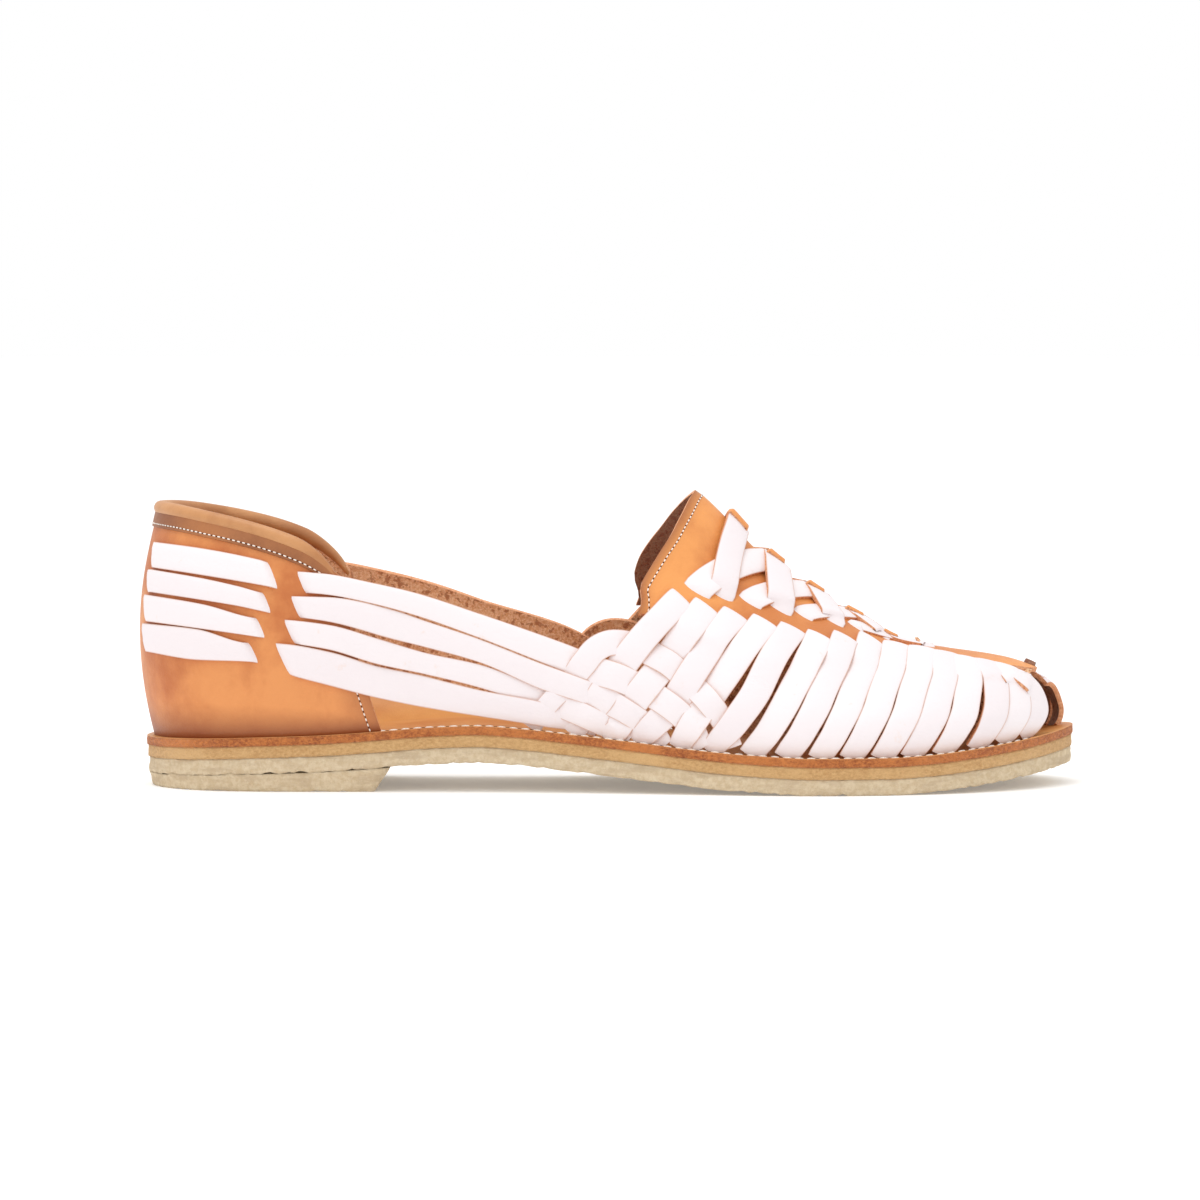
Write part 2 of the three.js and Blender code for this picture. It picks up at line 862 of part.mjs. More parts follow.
const strips = (grow) => {
  const solids = [];
  const routes = riserRoutes();
  for (const side of [-1, 1]) {
    routes.forEach((route, k) => {
      const rows = onto(route, side);
      const [w, h] = rows[rows.length - 1];
      if (k < INNER_SLOTS.length) {
        const [u, rise] = onSide(...INNER_SLOTS[k]);
        const t = UNDER_PANEL;
        rows.push([w + (side * u - w) * t, h + (rise - h) * t, LATTICE_WIDTH, UNDER]);
        rows.push([side * u, rise - SLOT_DIP, LATTICE_WIDTH, UNDER]);
      } else {
        for (const t of TOP_TUCKS) rows.push([w, h + (1 - h) * t, FOREPART_WIDTH, UNDER]);
      }
      solids.push(stripOver(rows, grow));
    });
    if (side > 0) {
      for (const [foot, top] of TOE_STRIPS) {
        const rows = TOE_RISES.map((t) => {
          const lift = t === 0 ? FOOT_LIFT : UNDER;
          return [foot + (top - foot) * t, t, FOREPART_FOOT_WIDTH, lift];
        });
        solids.push(stripOver(rows, grow));
      }
    }
    for (const route of BRAID) solids.push(stripOver(onto(route, side), grow));
  }
  for (const [from, to, top] of crestLinks()) {
    solids.push(stripOver(laceRows(from, to, top), grow));
  }
  return solids;
};

// Rise on rib u where the collar line stands, less a drop
const collarRise = (u, drop) =>
  turningPoint((h) => {
    const [x, , z] = lastPoint(-u, h);
    return z < INSTEP_HEIGHT * smooth(COLLAR, 1, x / LENGTH + 0.5) - drop;
  });

// Heel panel from the insole to just under the rolled collar
const COLLAR_COLUMNS = 32;
const COUNTER_ROWS = 5;
const counterPanel = () => {
  const places = [];
  const columns = COLLAR_COLUMNS;
  for (let i = 0; i <= COUNTER_ROWS; i++) {
    const s = i / COUNTER_ROWS;
    const front = FRONT_LOW + (FRONT_TOP - FRONT_LOW) * s;
    const row = [];
    for (let j = 0; j <= columns; j++) {
      const w = front * ((2 * j) / columns - 1);
      row.push([w, s * collarRise(Math.abs(w), ROLL_RADIUS + GAP)]);
    }
    places.push(row);
  }
  return panel(places, PANEL_LAYER, PANEL_LAYER + PANEL);
};

// Roll round the collar's edge with the fold that comes down outside the heel panel
const ROLL_CORNERS = 8;
const FOLD_TOP = 0.6 * ROLL_RADIUS;
const collarBinding = () => {
  const rings = [];
  const count = COLLAR_COLUMNS;
  const middle = PANEL_LAYER + PANEL / 2;
  const band = [[], []];
  for (let j = 0; j <= count; j++) {
    const w = FRONT_TOP * ((2 * j) / count - 1);
    const h = collarRise(Math.abs(w), 0);
    const low = collarRise(Math.abs(w), ROLL_RADIUS);
    const centre = raised(w, h, middle);
    const out = minus(raised(w, h, middle + 1), centre);
    const down = minus(raised(w, low, middle), centre);
    const size = Math.hypot(...down);
    const ring = [];
    for (let k = 0; k < ROLL_CORNERS; k++) {
      const a = (2 * Math.PI * k) / ROLL_CORNERS;
      const c = Math.cos(a) * ROLL_RADIUS;
      const s = (Math.sin(a) * ROLL_RADIUS) / size;
      ring.push([0, 1, 2].map((q) => centre[q] + out[q] * c + down[q] * s));
    }
    rings.push(ring);
    band[0].push([w, collarRise(Math.abs(w), ROLL_RADIUS + ROLL_BAND)]);
    band[1].push([w, collarRise(Math.abs(w), FOLD_TOP)]);
  }
  const fold = panel(band, OVER, OVER + BAND_WALL);
  return joined([ringSolid(rings), fold]);
};

// Panel over the crest, from one lower edge to the other, and the tabs that stand on it
const PANEL_COLUMNS = 24;
const PANEL_SHARES = [0, 0.4, 0.7, 0.95];
const instepPanel = () => {
  const places = [];
  const near = PANEL_SHARES.map((t) => [-1, t]);
  const far = PANEL_SHARES.map((t) => [1, t]);
  const sides = [...near, ...far.reverse()];
  for (const [side, t] of sides) {
    const row = [];
    for (let j = 0; j <= PANEL_COLUMNS; j++) {
      const along = j / PANEL_COLUMNS;
      const edge = riseFor(THROAT + (PANEL_END - THROAT) * along, PANEL_EDGE, 1);
      const rise = edge + (1 - edge) * t;
      const start = smooth(PANEL_START, 1, rise);
      row.push([side * (start + (PANEL_END - start) * along), rise]);
    }
    places.push(row);
  }
  const solids = [panel(places, PANEL_LAYER, PANEL_LAYER + PANEL)];
  for (const at of TABS) {
    const rows = TAB_ROWS.map(([shift, lift]) => {
      return [-crestTurn(at + shift), NEAR_CREST, TAB_WIDTH, lift];
    });
    solids.push(stripOver(rows, 0));
  }
  return solids;
};

const shifted = (lift) => (x) => soleTop(x) + lift;
const outsoleTop = (x) => underside(x) + OUTSOLE_THICKNESS;
const midsoleTop = (x) => outsoleTop(x) + MIDSOLE_THICKNESS;
const BEYOND = 20;
const trim = soleLayer(-BEYOND, () => -BEYOND, shifted(SEAT_GAP));

const upper = joined([...straps(0), ...strips(0)]).subtract(trim);
const slots = wasm.Manifold.union([...straps(SLOT_GROW), ...strips(SLOT_GROW)]);
const largest = (solid) => joined([solid]);

const COLOURS = {
  crepe: [0xcdbea0, 0.95],
  midsole: [0xd7ab73, 0.9],
  insole: [0xb4682f, 0.85],
  white: [0xf6eeec, 0.6],
  tan: [0xde965a, 0.5],
  binding: [0xcd9664, 0.55],
};
const PARTS = [
  ["outsole", "crepe", soleLayer(OUTSOLE_INSET, underside, (x) => outsoleTop(x) - GLUE)],
  ["heel_lift", "crepe", heelLift()],
  ["midsole", "midsole", soleLayer(MIDSOLE_INSET, outsoleTop, (x) => midsoleTop(x) - GLUE)],
  ["insole", "insole", soleLayer(0, midsoleTop, soleTop)],
  ["upper", "white", largest(upper)],
  ["counter", "tan", largest(counterPanel().subtract(slots).subtract(trim))],
  ["collar_binding", "binding", largest(collarBinding().subtract(slots))],
  ["instep_panel", "tan", largest(wasm.Manifold.union(instepPanel()).subtract(slots))],
];

// The origin is the middle of the shoe's box, on the floor
const box = wasm.Manifold.union(PARTS.map(([, , solid]) => solid)).boundingBox();
const middle = [0, 1].map((k) => (box.min[k] + box.max[k]) / 2);

const group = new THREE.Group();
for (const [name, slot, solid] of PARTS) {
  const { vertProperties, triVerts } = solid.translate([-middle[0], -middle[1], 0]).getMesh();
  const geometry = new THREE.BufferGeometry();
  geometry.setAttribute("position", new THREE.Float32BufferAttribute(vertProperties, 3));
  geometry.setIndex(Array.from(triVerts));
  const [color, roughness] = COLOURS[slot];
  const material = new THREE.MeshStandardMaterial({ color, roughness, metalness: 0 });
  const mesh = new THREE.Mesh(geometry, material);
  mesh.name = name;
  group.add(mesh);
}

export default group;
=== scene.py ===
"""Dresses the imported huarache: leather strips, panels, stitches and the sole's raw edges."""

import math

import bmesh
import bpy
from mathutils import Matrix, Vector, noise


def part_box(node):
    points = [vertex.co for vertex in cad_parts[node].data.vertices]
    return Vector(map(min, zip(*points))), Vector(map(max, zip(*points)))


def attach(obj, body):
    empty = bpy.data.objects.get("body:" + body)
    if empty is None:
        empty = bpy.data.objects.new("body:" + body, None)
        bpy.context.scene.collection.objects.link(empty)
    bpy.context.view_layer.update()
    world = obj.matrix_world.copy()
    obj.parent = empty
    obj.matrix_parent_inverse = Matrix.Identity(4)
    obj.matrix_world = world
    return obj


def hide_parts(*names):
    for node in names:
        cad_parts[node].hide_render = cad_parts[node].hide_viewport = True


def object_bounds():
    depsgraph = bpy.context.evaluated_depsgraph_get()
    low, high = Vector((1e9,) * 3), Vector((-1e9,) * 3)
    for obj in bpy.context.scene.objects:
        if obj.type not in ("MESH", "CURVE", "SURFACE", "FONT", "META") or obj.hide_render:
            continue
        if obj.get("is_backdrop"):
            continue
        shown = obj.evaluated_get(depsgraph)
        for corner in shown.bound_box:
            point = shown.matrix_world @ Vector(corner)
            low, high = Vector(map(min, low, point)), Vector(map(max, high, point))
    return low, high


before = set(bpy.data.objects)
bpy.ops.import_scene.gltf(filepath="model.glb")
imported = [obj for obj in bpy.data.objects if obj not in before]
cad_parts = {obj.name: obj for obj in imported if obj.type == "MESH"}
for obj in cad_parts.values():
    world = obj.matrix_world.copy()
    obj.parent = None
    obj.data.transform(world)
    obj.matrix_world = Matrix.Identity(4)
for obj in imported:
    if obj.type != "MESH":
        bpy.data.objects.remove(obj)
CAD_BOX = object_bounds()

MM = 0.001

# Sole, in millimetres
LENGTH = 265
BALL_WIDTH = 92
ARCH_RISE = 8.2
OUTSOLE_THICKNESS = 4.6
MIDSOLE_THICKNESS = 3.4
INSOLE_THICKNESS = 2.4
MIDSOLE_INSET = 0.3
OUTSOLE_INSET = 0.6
LIFT_INSET = 1.4
LIFT_SHARE = 0.248
BREAST_SLOPE = 4.6
FEATHER_MARGIN = 5
CUP_RISE = 9
CUP_BACK = -95
CUP_FRONT = -18

# Upper, in millimetres
INSTEP_HEIGHT = 83.3
CREST_SHIFT = 4
HEEL_BULGE = 6.6
SIDE_BULGE = 3
BULGE_RISE = 0.3
ROUNDNESS = 1.2
FULLNESS = 0.97
STRIP = 1.4
PANEL = 1.4
GAP = 0.15
ROLL_RADIUS = 2.1
ROLL_BAND = 3.4
BAND_WALL = 1.1
BAND_LIFT = 0.7
ROLL_DIP = 3
SEAT_GAP = 0.3

# Layers off the last
UNDER = 0
PANEL_LAYER = UNDER + STRIP + GAP
OVER = PANEL_LAYER + PANEL + GAP
CROSSED = STRIP - 0.15
TAB_LAYER = OVER + CROSSED + STRIP + GAP
SKIN = PANEL_LAYER + PANEL

# Side-view grid: 927 steps along the sole
GRID_STEPS = 927
GRID_MIDDLE = 610.5
GRID_FLOOR = 783.6
GRID_INSTEP = 291.6
VIEW_DISTANCE = 2000
VIEW_TILT = math.radians(3.5)
VIEW_AIM = 40

# Sole outline: turn share, outer half width, inner half width (shares of BALL_WIDTH)
OUTLINE = [
    (0, 0, 0),
    (0.05, 0.109, 0.109),
    (0.1, 0.207, 0.207),
    (0.15, 0.284, 0.28),
    (0.2, 0.329, 0.318),
    (0.25, 0.347, 0.327),
    (0.3, 0.348, 0.318),
    (0.35, 0.349, 0.298),
    (0.4, 0.356, 0.28),
    (0.45, 0.376, 0.282),
    (0.5, 0.411, 0.318),
    (0.55, 0.456, 0.378),
    (0.6, 0.496, 0.44),
    (0.65, 0.507, 0.484),
    (0.7, 0.484, 0.5),
    (0.75, 0.431, 0.484),
    (0.8, 0.351, 0.442),
    (0.85, 0.253, 0.373),
    (0.9, 0.144, 0.282),
    (0.95, 0.04, 0.173),
    (1, -0.055, 0.055),
]

# Underside of the outsole: share of LENGTH, height (share of ARCH_RISE)
UNDERSIDE = [
    (0, 0.44),
    (0.111, 0.585),
    (0.194, 0.68),
    (0.25, 0.8),
    (0.311, 0.95),
    (0.357, 1),
    (0.409, 0.9),
    (0.451, 0.756),
    (0.49, 0.62),
    (0.53, 0.476),
    (0.597, 0.232),
    (0.661, 0.073),
    (0.712, 0),
    (0.79, 0),
    (0.835, 0.06),
    (0.877, 0.183),
    (0.921, 0.354),
    (0.959, 0.537),
    (0.99, 0.72),
    (1, 0.78),
]

# Top of each rib of the last: turn share, place (share of LENGTH)
RIB_TOPS = [
    (0, 0.14),
    (0.1, 0.16),
    (0.2, 0.23),
    (0.3, 0.335),
    (0.4, 0.465),
    (0.49, 0.593),
    (0.55, 0.662),
    (0.6, 0.722),
    (0.65, 0.782),
    (0.7, 0.836),
    (0.75, 0.88),
    (0.8, 0.915),
    (0.85, 0.938),
    (0.9, 0.953),
    (0.95, 0.961),
    (1, 0.965),
]

# Crown height: share of LENGTH, share of INSTEP_HEIGHT
CROWN = [
    (0.14, 1.45),
    (0.25, 1.4),
    (0.4, 1.27),
    (0.5, 1.135),
    (0.593, 0.968),
    (0.615, 0.903),
    (0.64, 0.816),
    (0.665, 0.738),
    (0.686, 0.687),
    (0.722, 0.607),
    (0.767, 0.527),
    (0.81, 0.454),
    (0.861, 0.43),
    (0.92, 0.401),
    (0.955, 0.363),
    (0.965, 0.34),
]

# Bulge of the last beyond its foot: turn share, share of SIDE_BULGE
BULGE = [
    (0, HEEL_BULGE / SIDE_BULGE),
    (0.1, 0.9 * HEEL_BULGE / SIDE_BULGE),
    (0.2, 1.9),
    (0.3, 1.4),
    (0.4, 1),
    (0.7, 1),
    (0.9, 1),
    (1, 0.8),
]

# Collar line: share of LENGTH, height (share of INSTEP_HEIGHT)
COLLAR = [
    (0.011, 0.942),
    (0.04, 0.934),
    (0.079, 0.911),
    (0.118, 0.882),
    (0.165, 0.832),
    (0.198, 0.774),
    (0.214, 0.73),
]
FRONT_LOW = 0.331
FRONT_TOP = 0.284

# Straps on the side-view grid: across, upper edge, lower edge
STRAPS = [
    [
        (150, 541, 567),
        (202, 548, 575),
        (266, 561, 586),
        (285, 567, 590),
        (300, 571, 592),
        (330, 574, 595),
        (370, 582, 603),
        (415, 592, 615),
        (480, 613, 638),
        (530, 630, 658),
        (575, 646, 677),
        (600, 657, 688),
    ],
    [
        (150, 569, 592),
        (202, 578, 600),
        (238, 586, 606),
        (261, 592, 611),
        (280, 594, 615),
        (296, 596, 617),
        (330, 597, 622),
        (392, 609, 639),
        (424, 620, 647),
        (480, 639, 663),
        (540, 663, 690),
        (581, 678, 704),
        (605, 687, 714),
    ],
    [
        (143, 594, 621),
        (202, 604, 629),
        (257, 618, 637),
        (275, 619, 640),
        (290, 620, 643),
        (330, 625, 650),
        (376, 638, 664),
        (426, 653, 675),
        (480, 665, 689),
        (540, 688, 712),
        (562, 695, 719),
        (580, 702, 726),
    ],
    [
        (141, 623, 651),
        (196, 629, 660),
        (250, 643, 662),
        (265, 643, 667),
        (285, 644, 674),
        (330, 652, 686),
        (376, 666, 698),
        (422, 676, 708),
        (480, 691, 718),
        (545, 704, 729),
        (575, 716, 735),
        (602, 726, 743),
    ],
]
SLOT_BACK = [0, 6, 12, 19]
INNER_RISE = 0.017
INNER_SPAN = [(0.2, 0), (0.3, 0.4), (0.4, 0.5), (0.46, 1), (0.486, 0.6)]
STRAP_REACH = [0.486, 0.494, 0.472, 0.49]
SLOT_SLANT = [0.42, 0.42, 0.46, 0.5]

# Lift of a strap at the heel panel: across, lift
STRAP_LIFT = [
    (268, OVER),
    (284, UNDER),
    (292, UNDER),
    (309, OVER),
    (372, OVER),
    (420, 2.2),
    (500, 1.4),
]

# Lift of a strap at its slot by the back of the heel: turn share, lift
HEEL_SLOT = [(0.022, UNDER), (0.05, OVER)]
HEEL_SLANT = 0.012

# Turn shares between which the rim is stitched
RIM_STITCHES = (0.33, 0.86)

# Lift of each strap where it enters the plait: across, lift
STRAP_ENDS = [
    [(430, 2), (530, 1.2), (556, 0.6), (581, 0), (610, 0)],
    [(430, 2), (530, 1.2), (548, CROSSED), (580, CROSSED), (600, 0)],
    [(430, 2), (520, 0.6), (545, 0), (575, -0.3)],
    [(430, 2), (500, 1.4), (548, CROSSED), (568, 0), (600, -0.3)],
]

# Plaited strips on the side-view grid: across, height, width, lift
BRAID = [
    [
        (575, 665, 8, 0),
        (581, 668, 8, 0),
        (614, 676, 8, CROSSED),
        (644, 690, 7.5, 0),
        (671, 707, 7.5, CROSSED),
        (691, 726, 7, 0),
        (703, 748, 6, 0.5),
    ],
    [
        (592, 695, 7.8, 0),
        (600, 698, 7.8, 0),
        (626, 712, 7, CROSSED),
        (650, 729, 7, 0),
        (664, 748, 6, 0.3),
    ],
    [
        (545, 700, 7, 0),
        (551, 702, 7, 0),
        (586, 717, 7, CROSSED),
        (617, 733, 6, 0),
        (628, 745, 5, 0.3),
    ],
    [
        (530, 728, 6, 0),
        (551, 701, 6, CROSSED),
        (568, 684, 6.5, 0),
        (583, 664, 7.5, CROSSED),
        (597, 648, 7.5, CROSSED),
        (615, 642, 7.5, 0.8),
        (636, 646, 7.5, 0),
        (666, 661, 7.5, CROSSED),
        (687, 680, 7, 0),
        (708, 701, 7, CROSSED),
        (722, 721, 6.5, 0),
        (732, 748, 6, 0.3),
    ],
]

# Strips that rise from the plait to the instep panel: across, height, width, lift
RISERS = [
    [
        (572, 740, 6, 0.3),
        (586, 717, 7, 0),
        (600, 698, 8.6, CROSSED),
        (614, 676, 8.6, 0),
        (630, 654, 8.6, CROSSED),
        (648, 632, 8.4, 2.2),
        (664, 615, 8.2, OVER),
        (681, 598, 8.2, OVER),
    ],
    [
        (604, 745, 6, 0.3),
        (617, 730, 7, CROSSED),
        (626, 712, 8.4, 0),
        (644, 688, 8.6, CROSSED),
        (666, 661, 8.6, 0),
        (680, 640, 8.4, 2),
        (693, 623, 8.4, OVER),
        (706, 606, 8.4, OVER),
    ],
    [
        (636, 748, 6, 0.3),
        (650, 729, 7.4, CROSSED),
        (671, 707, 8.2, 0),
        (687, 681, 8.6, CROSSED),
        (706, 652, 8.4, 1.8),
        (718, 634, 8, OVER),
        (735, 614, 8.4, OVER),
    ],
    [
        (678, 754, 6, 0.3),
        (691, 726, 7.6, CROSSED),
        (708, 701, 8, 0),
        (730, 668, 8.4, CROSSED),
        (748, 642, 8.2, OVER),
        (765, 621, 8.4, OVER),
    ],
    [
        (710, 758, 6, 0.3),
        (735, 722, 8, CROSSED),
        (758, 688, 8.4, 1.4),
        (776, 652, 8.2, OVER),
        (793, 628, 8.2, OVER),
    ],
]

# Strips of the forepart: foot across, foot height, bow, top across, top height
FOREPART = [
    (750, 762, 3, 820, 635),
    (785, 763, 4, 846, 636),
    (819, 763, 5, 872, 637),
    (850, 763, 6, 897, 642),
    (881, 762, 8, 922, 646),
    (910, 760, 10, 945, 651),
    (941, 756, 13, 966, 656),
    (975, 750, 16, 988, 660),
    (1001, 744, 18, 1005, 664),
    (1022, 738, 20, 1018, 669.5),
]
FOREPART_WIDTH = 7.9
FOREPART_FOOT_WIDTH = 6.8
TOE_STRIPS = [(0.925, 0.9), (0.965, 0.93)]
# Share of the lift's inset that its lower rim takes, and where the heel's round part starts
LIFT_PULL = 0.7
HEEL_CURVE = -0.09

# Pitch, length and width of the stitches: rim of the insole, collar fold, panel edges
RIM_STITCH = (3.4, 2.4, 0.6)
FOLD_STITCH = (1.55, 1.05, 0.42)
EDGE_STITCH = (1.6, 1.05, 0.42)
# How far in from the rim, the heel panel's front edge and the throat the stitches run
RIM_STITCH_INSET = 2.3
FRONT_STITCH_INSET = 0.009
THROAT_STITCH_INSET = 0.0055
STITCH_LIFT = 0.05

# Side of the photograph in its own pixels, and the spot that the lamps face
PHOTO_SIDE = 1200
LAMP_AIM = Vector((0, 0, 0.03))

# Highest rise that a strip takes, and the first strip that runs on without a slot
CREST_RISE = 0.965
STRAIGHT_FROM = 8

# How much lower than its middle a strip's edges lie
STRIP_CROWN = 0.3
# Length of a strap's run in the scene's metres
STRAP_RUN = 0.42
# Rise at which the laced strips pass over the crest
LACED_RISE = 0.995

# Inner slots of the instep panel: across, height
INNER_SLOTS = [
    (697, 591),
    (720, 596),
    (750, 603),
    (778, 610),
    (803, 616),
    (832, 622),
    (856, 627),
    (880, 635),
    (903, 641),
    (926, 646),
]
LATTICE_WIDTH = 8.6
SLOT_DIP = 0.5

# Edge of the instep panel under the strips: across, height
PANEL_EDGE = [
    (640, 612),
    (686, 615),
    (715, 629),
    (747, 638),
    (773, 644),
    (801, 650),
    (829, 652),
    (853, 655),
    (881, 657),
    (903, 661),
    (930, 664),
    (956, 664),
    (983, 666.5),
    (1010, 669),
    (1045, 682),
]

# Throat edge of the instep panel: rise, outer turn share, inner turn share
PANEL_START = [
    (0.4, 0.507, 0.507),
    (0.43, 0.5045, 0.503),
    (0.46, 0.501, 0.4975),
    (0.55, 0.5015, 0.495),
    (0.65, 0.501, 0.495),
    (0.78, 0.4965, 0.4925),
    (0.94, 0.4879, 0.4873),
    (1, 0.485, 0.485),
]
PANEL_END = 0.9

# Tabs along the crest (share of LENGTH)
TABS = [0.626, 0.668, 0.713, 0.757, 0.797]
TAB_WIDTH = 3
TAB_LENGTH = 0.0066
TAB_SINK = 1.1
TAB_FALL = 0.55

# How the instep panel narrows to its tip: share along it, share of its half width taken off
PANEL_TIP = [(0.78, 0), (0.9, 0.3), (1, 0.75)]


def smooth(rows, column, at):
    """Value of a table column on a smooth curve that keeps the rows' rises, falls and flats."""
    last = len(rows) - 1
    if at <= rows[0][0]:
        return rows[0][column]
    if at >= rows[last][0]:
        return rows[last][column]
    i = 0
    while rows[i + 1][0] < at:
        i += 1

    def slope(k):
        p = (rows[k][column] - rows[k - 1][column]) / (rows[k][0] - rows[k - 1][0])
        q = (rows[k + 1][column] - rows[k][column]) / (rows[k + 1][0] - rows[k][0])
        return 2 * p * q / (p + q) if p * q > 0 else 0

    span = rows[i + 1][0] - rows[i][0]
    t = (at - rows[i][0]) / span
    a, b = rows[i][column], rows[i + 1][column]
    va = b - a if i == 0 else slope(i) * span
    vb = b - a if i + 1 == last else slope(i + 1) * span
    return a + t * (va + t * (3 * (b - a) - 2 * va - vb + t * (2 * (a - b) + va + vb)))


def resample(rows, count):
    """Even samples along table rows."""
    keyed = [(i, *row) for i, row in enumerate(rows)]
    places = [i / count * (len(rows) - 1) for i in range(count + 1)]
    return [[smooth(keyed, c + 1, at) for c in range(len(rows[0]))] for at in places]


# The sole and the last


def underside(x):
    return ARCH_RISE * smooth(UNDERSIDE, 1, x / LENGTH + 0.5)


def sole_top(x):
    return underside(x) + OUTSOLE_THICKNESS + MIDSOLE_THICKNESS + INSOLE_THICKNESS


def outline_at(turn, side, inset):
    angle = math.pi * turn
    x = -math.cos(angle) * (LENGTH / 2 - inset)
    half = BALL_WIDTH * smooth(OUTLINE, 1 if side < 0 else 2, turn)
    pull = inset * math.sqrt(max(0, math.sin(angle)))
    return x, side * (half - pull)


def wrap(w):
    return w - 2 if w > 1 else w + 2 if w < -1 else w


def foot_at(w, inset):
    return outline_at(abs(w), -1 if w < 0 else 1, inset)


def last_point(along, rise):
    w = wrap(along)
    u = abs(w)
    h = max(0, min(1, rise))
    fx, fy = foot_at(w, FEATHER_MARGIN)
    bx, by = foot_at(wrap(w - 0.01), FEATHER_MARGIN)
    ax, ay = foot_at(wrap(w + 0.01), FEATHER_MARGIN)
    size = math.hypot(ax - bx, ay - by)
    share = smooth(RIB_TOPS, 1, u)
    crown_x = (share - 0.5) * LENGTH
    crown_z = INSTEP_HEIGHT * smooth(CROWN, 1, share)
    angle = h * math.pi / 2
    left = max(0, math.cos(angle)) ** ROUNDNESS
    up = math.sin(angle) ** FULLNESS
    start = 1 - (1 - min(1, h / BULGE_RISE)) ** 2.2
    bulge = SIDE_BULGE * smooth(BULGE, 1, u) * start * math.sqrt(max(0, math.cos(angle)))
    foot = sole_top(fx) + SEAT_GAP
    return Vector(
        (
            crown_x + (fx - crown_x) * left - (ay - by) / size * bulge,
            CREST_SHIFT + (fy - CREST_SHIFT) * left + (ax - bx) / size * bulge,
            foot + (crown_z - foot) * up,
        )
    )


def outward(w, rise):
    h = max(0.002, min(0.985, rise))
    along = last_point(w + 0.004, h) - last_point(w - 0.004, h)
    up = last_point(w, h + 0.015) - last_point(w, h - 0.002)
    return up.cross(along).normalized()


def raised(w, rise, lift):
    return last_point(w, rise) + outward(w, rise) * lift


def seen(u, h, lift=None):
    """Place on the side-view grid of a point on the outer side of the leather."""
    x, y, z = raised(-u, h, SKIN * h if lift is None else lift)
    c, s = math.cos(VIEW_TILT), math.sin(VIEW_TILT)
    k = VIEW_DISTANCE / (VIEW_DISTANCE + y * c - (z - VIEW_AIM) * s)
    high = VIEW_AIM + ((z - VIEW_AIM) * c + y * s) * k
    return (
        GRID_MIDDLE + x * k * GRID_STEPS / LENGTH,
        GRID_FLOOR - high * GRID_INSTEP / INSTEP_HEIGHT,
    )


def rise_where(below):
    """The rise from 0 to 1 at which below(rise) turns false."""
    low, high = 0.0, 1.0
    for _ in range(16):
        h = (low + high) / 2
        if below(h):
            low = h
        else:
            high = h
    return (low + high) / 2


def rise_for(u, rows, column, lift=None):
    def below(h):
        gx, gy = seen(u, h, lift)
        return gy > smooth(rows, column, gx)

    return rise_where(below)


def collar_rise(u, drop):
    def below(h):
        x, _, z = last_point(-u, h)
        return z < INSTEP_HEIGHT * smooth(COLLAR, 1, x / LENGTH + 0.5) - drop

    return rise_where(below)


NEAREST = [
    (i / 60, j / 30, *seen(i / 60, j / 30)) for i in range(61) for j in range(31)
]


def on_side(gx, gy, lift=None):
    """Rib and rise of the outer side's point seen at a place of the grid."""
    u, h, _, _ = min(NEAREST, key=lambda g: (g[2] - gx) ** 2 + (g[3] - gy) ** 2)
    for _ in range(6):
        x, y = seen(u, h, lift)
        du = -0.003 if u > 0.5 else 0.003
        dh = -0.003 if h > 0.5 else 0.003
        ux, uy = seen(u + du, h, lift)
        hx, hy = seen(u, h + dh, lift)
        a, b = (ux - x) / du, (hx - x) / dh
        c, d = (uy - y) / du, (hy - y) / dh
        det = a * d - b * c
        if abs(det) < 1:
            break
        step_u = ((gx - x) * d - (gy - y) * b) / det
        step_h = ((gy - y) * a - (gx - x) * c) / det
        size = max(1, abs(step_u) / 0.03, abs(step_h) / 0.06)
        u = max(0, min(1, u + step_u / size))
        h = max(0, min(1, h + step_h / size))
    return u, h


def onto(rows, side):
    """Rows of the side-view grid carried onto one side of the last."""
    out = []
    for gx, gy, width, lift in rows:
        u, h = on_side(gx, gy, lift + STRIP)
        out.append((side * u, min(h, CREST_RISE), width, lift))
    return out


low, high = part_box("insole")
SHIFT = Vector(((low[0] + high[0]) / 2, 0, 0))
INSOLE_MIDDLE_Y = BALL_WIDTH * (
    max(smooth(OUTLINE, 2, i / 200) for i in range(201))
    - max(smooth(OUTLINE, 1, i / 200) for i in range(201))
)
SHIFT.y = (low[1] + high[1]) / 2 - INSOLE_MIDDLE_Y / 2 * MM


def place(point):
    """A point of the last, in millimetres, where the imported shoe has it."""
    return Vector(point) * MM + SHIFT


# Materials


class Tone:
    """A number from a material's nodes, so that sums on it are written as Python."""

    def __init__(self, paint, socket):
        self.paint = paint
        self.socket = socket

    def _sum(self, operation, *values):
        return self.paint.node("ShaderNodeMath", {"operation": operation}, values)

    def __add__(self, other):
        return self._sum("ADD", self, other)

    def __sub__(self, other):
        return self._sum("SUBTRACT", self, other)

    def __rsub__(self, other):
        return self._sum("SUBTRACT", other, self)

    def __mul__(self, other):
        return self._sum("MULTIPLY", self, other)

    __radd__ = __add__
    __rmul__ = __mul__

    def size(self):
        return self._sum("ABSOLUTE", self)

    def band(self, low, high):
        """0 below low and 1 above high, with a soft step between."""
        values = {"Value": self, "From Min": low, "From Max": high}
        return self.paint.node(
            "ShaderNodeMapRange", {"interpolation_type": "SMOOTHSTEP"}, values
        )


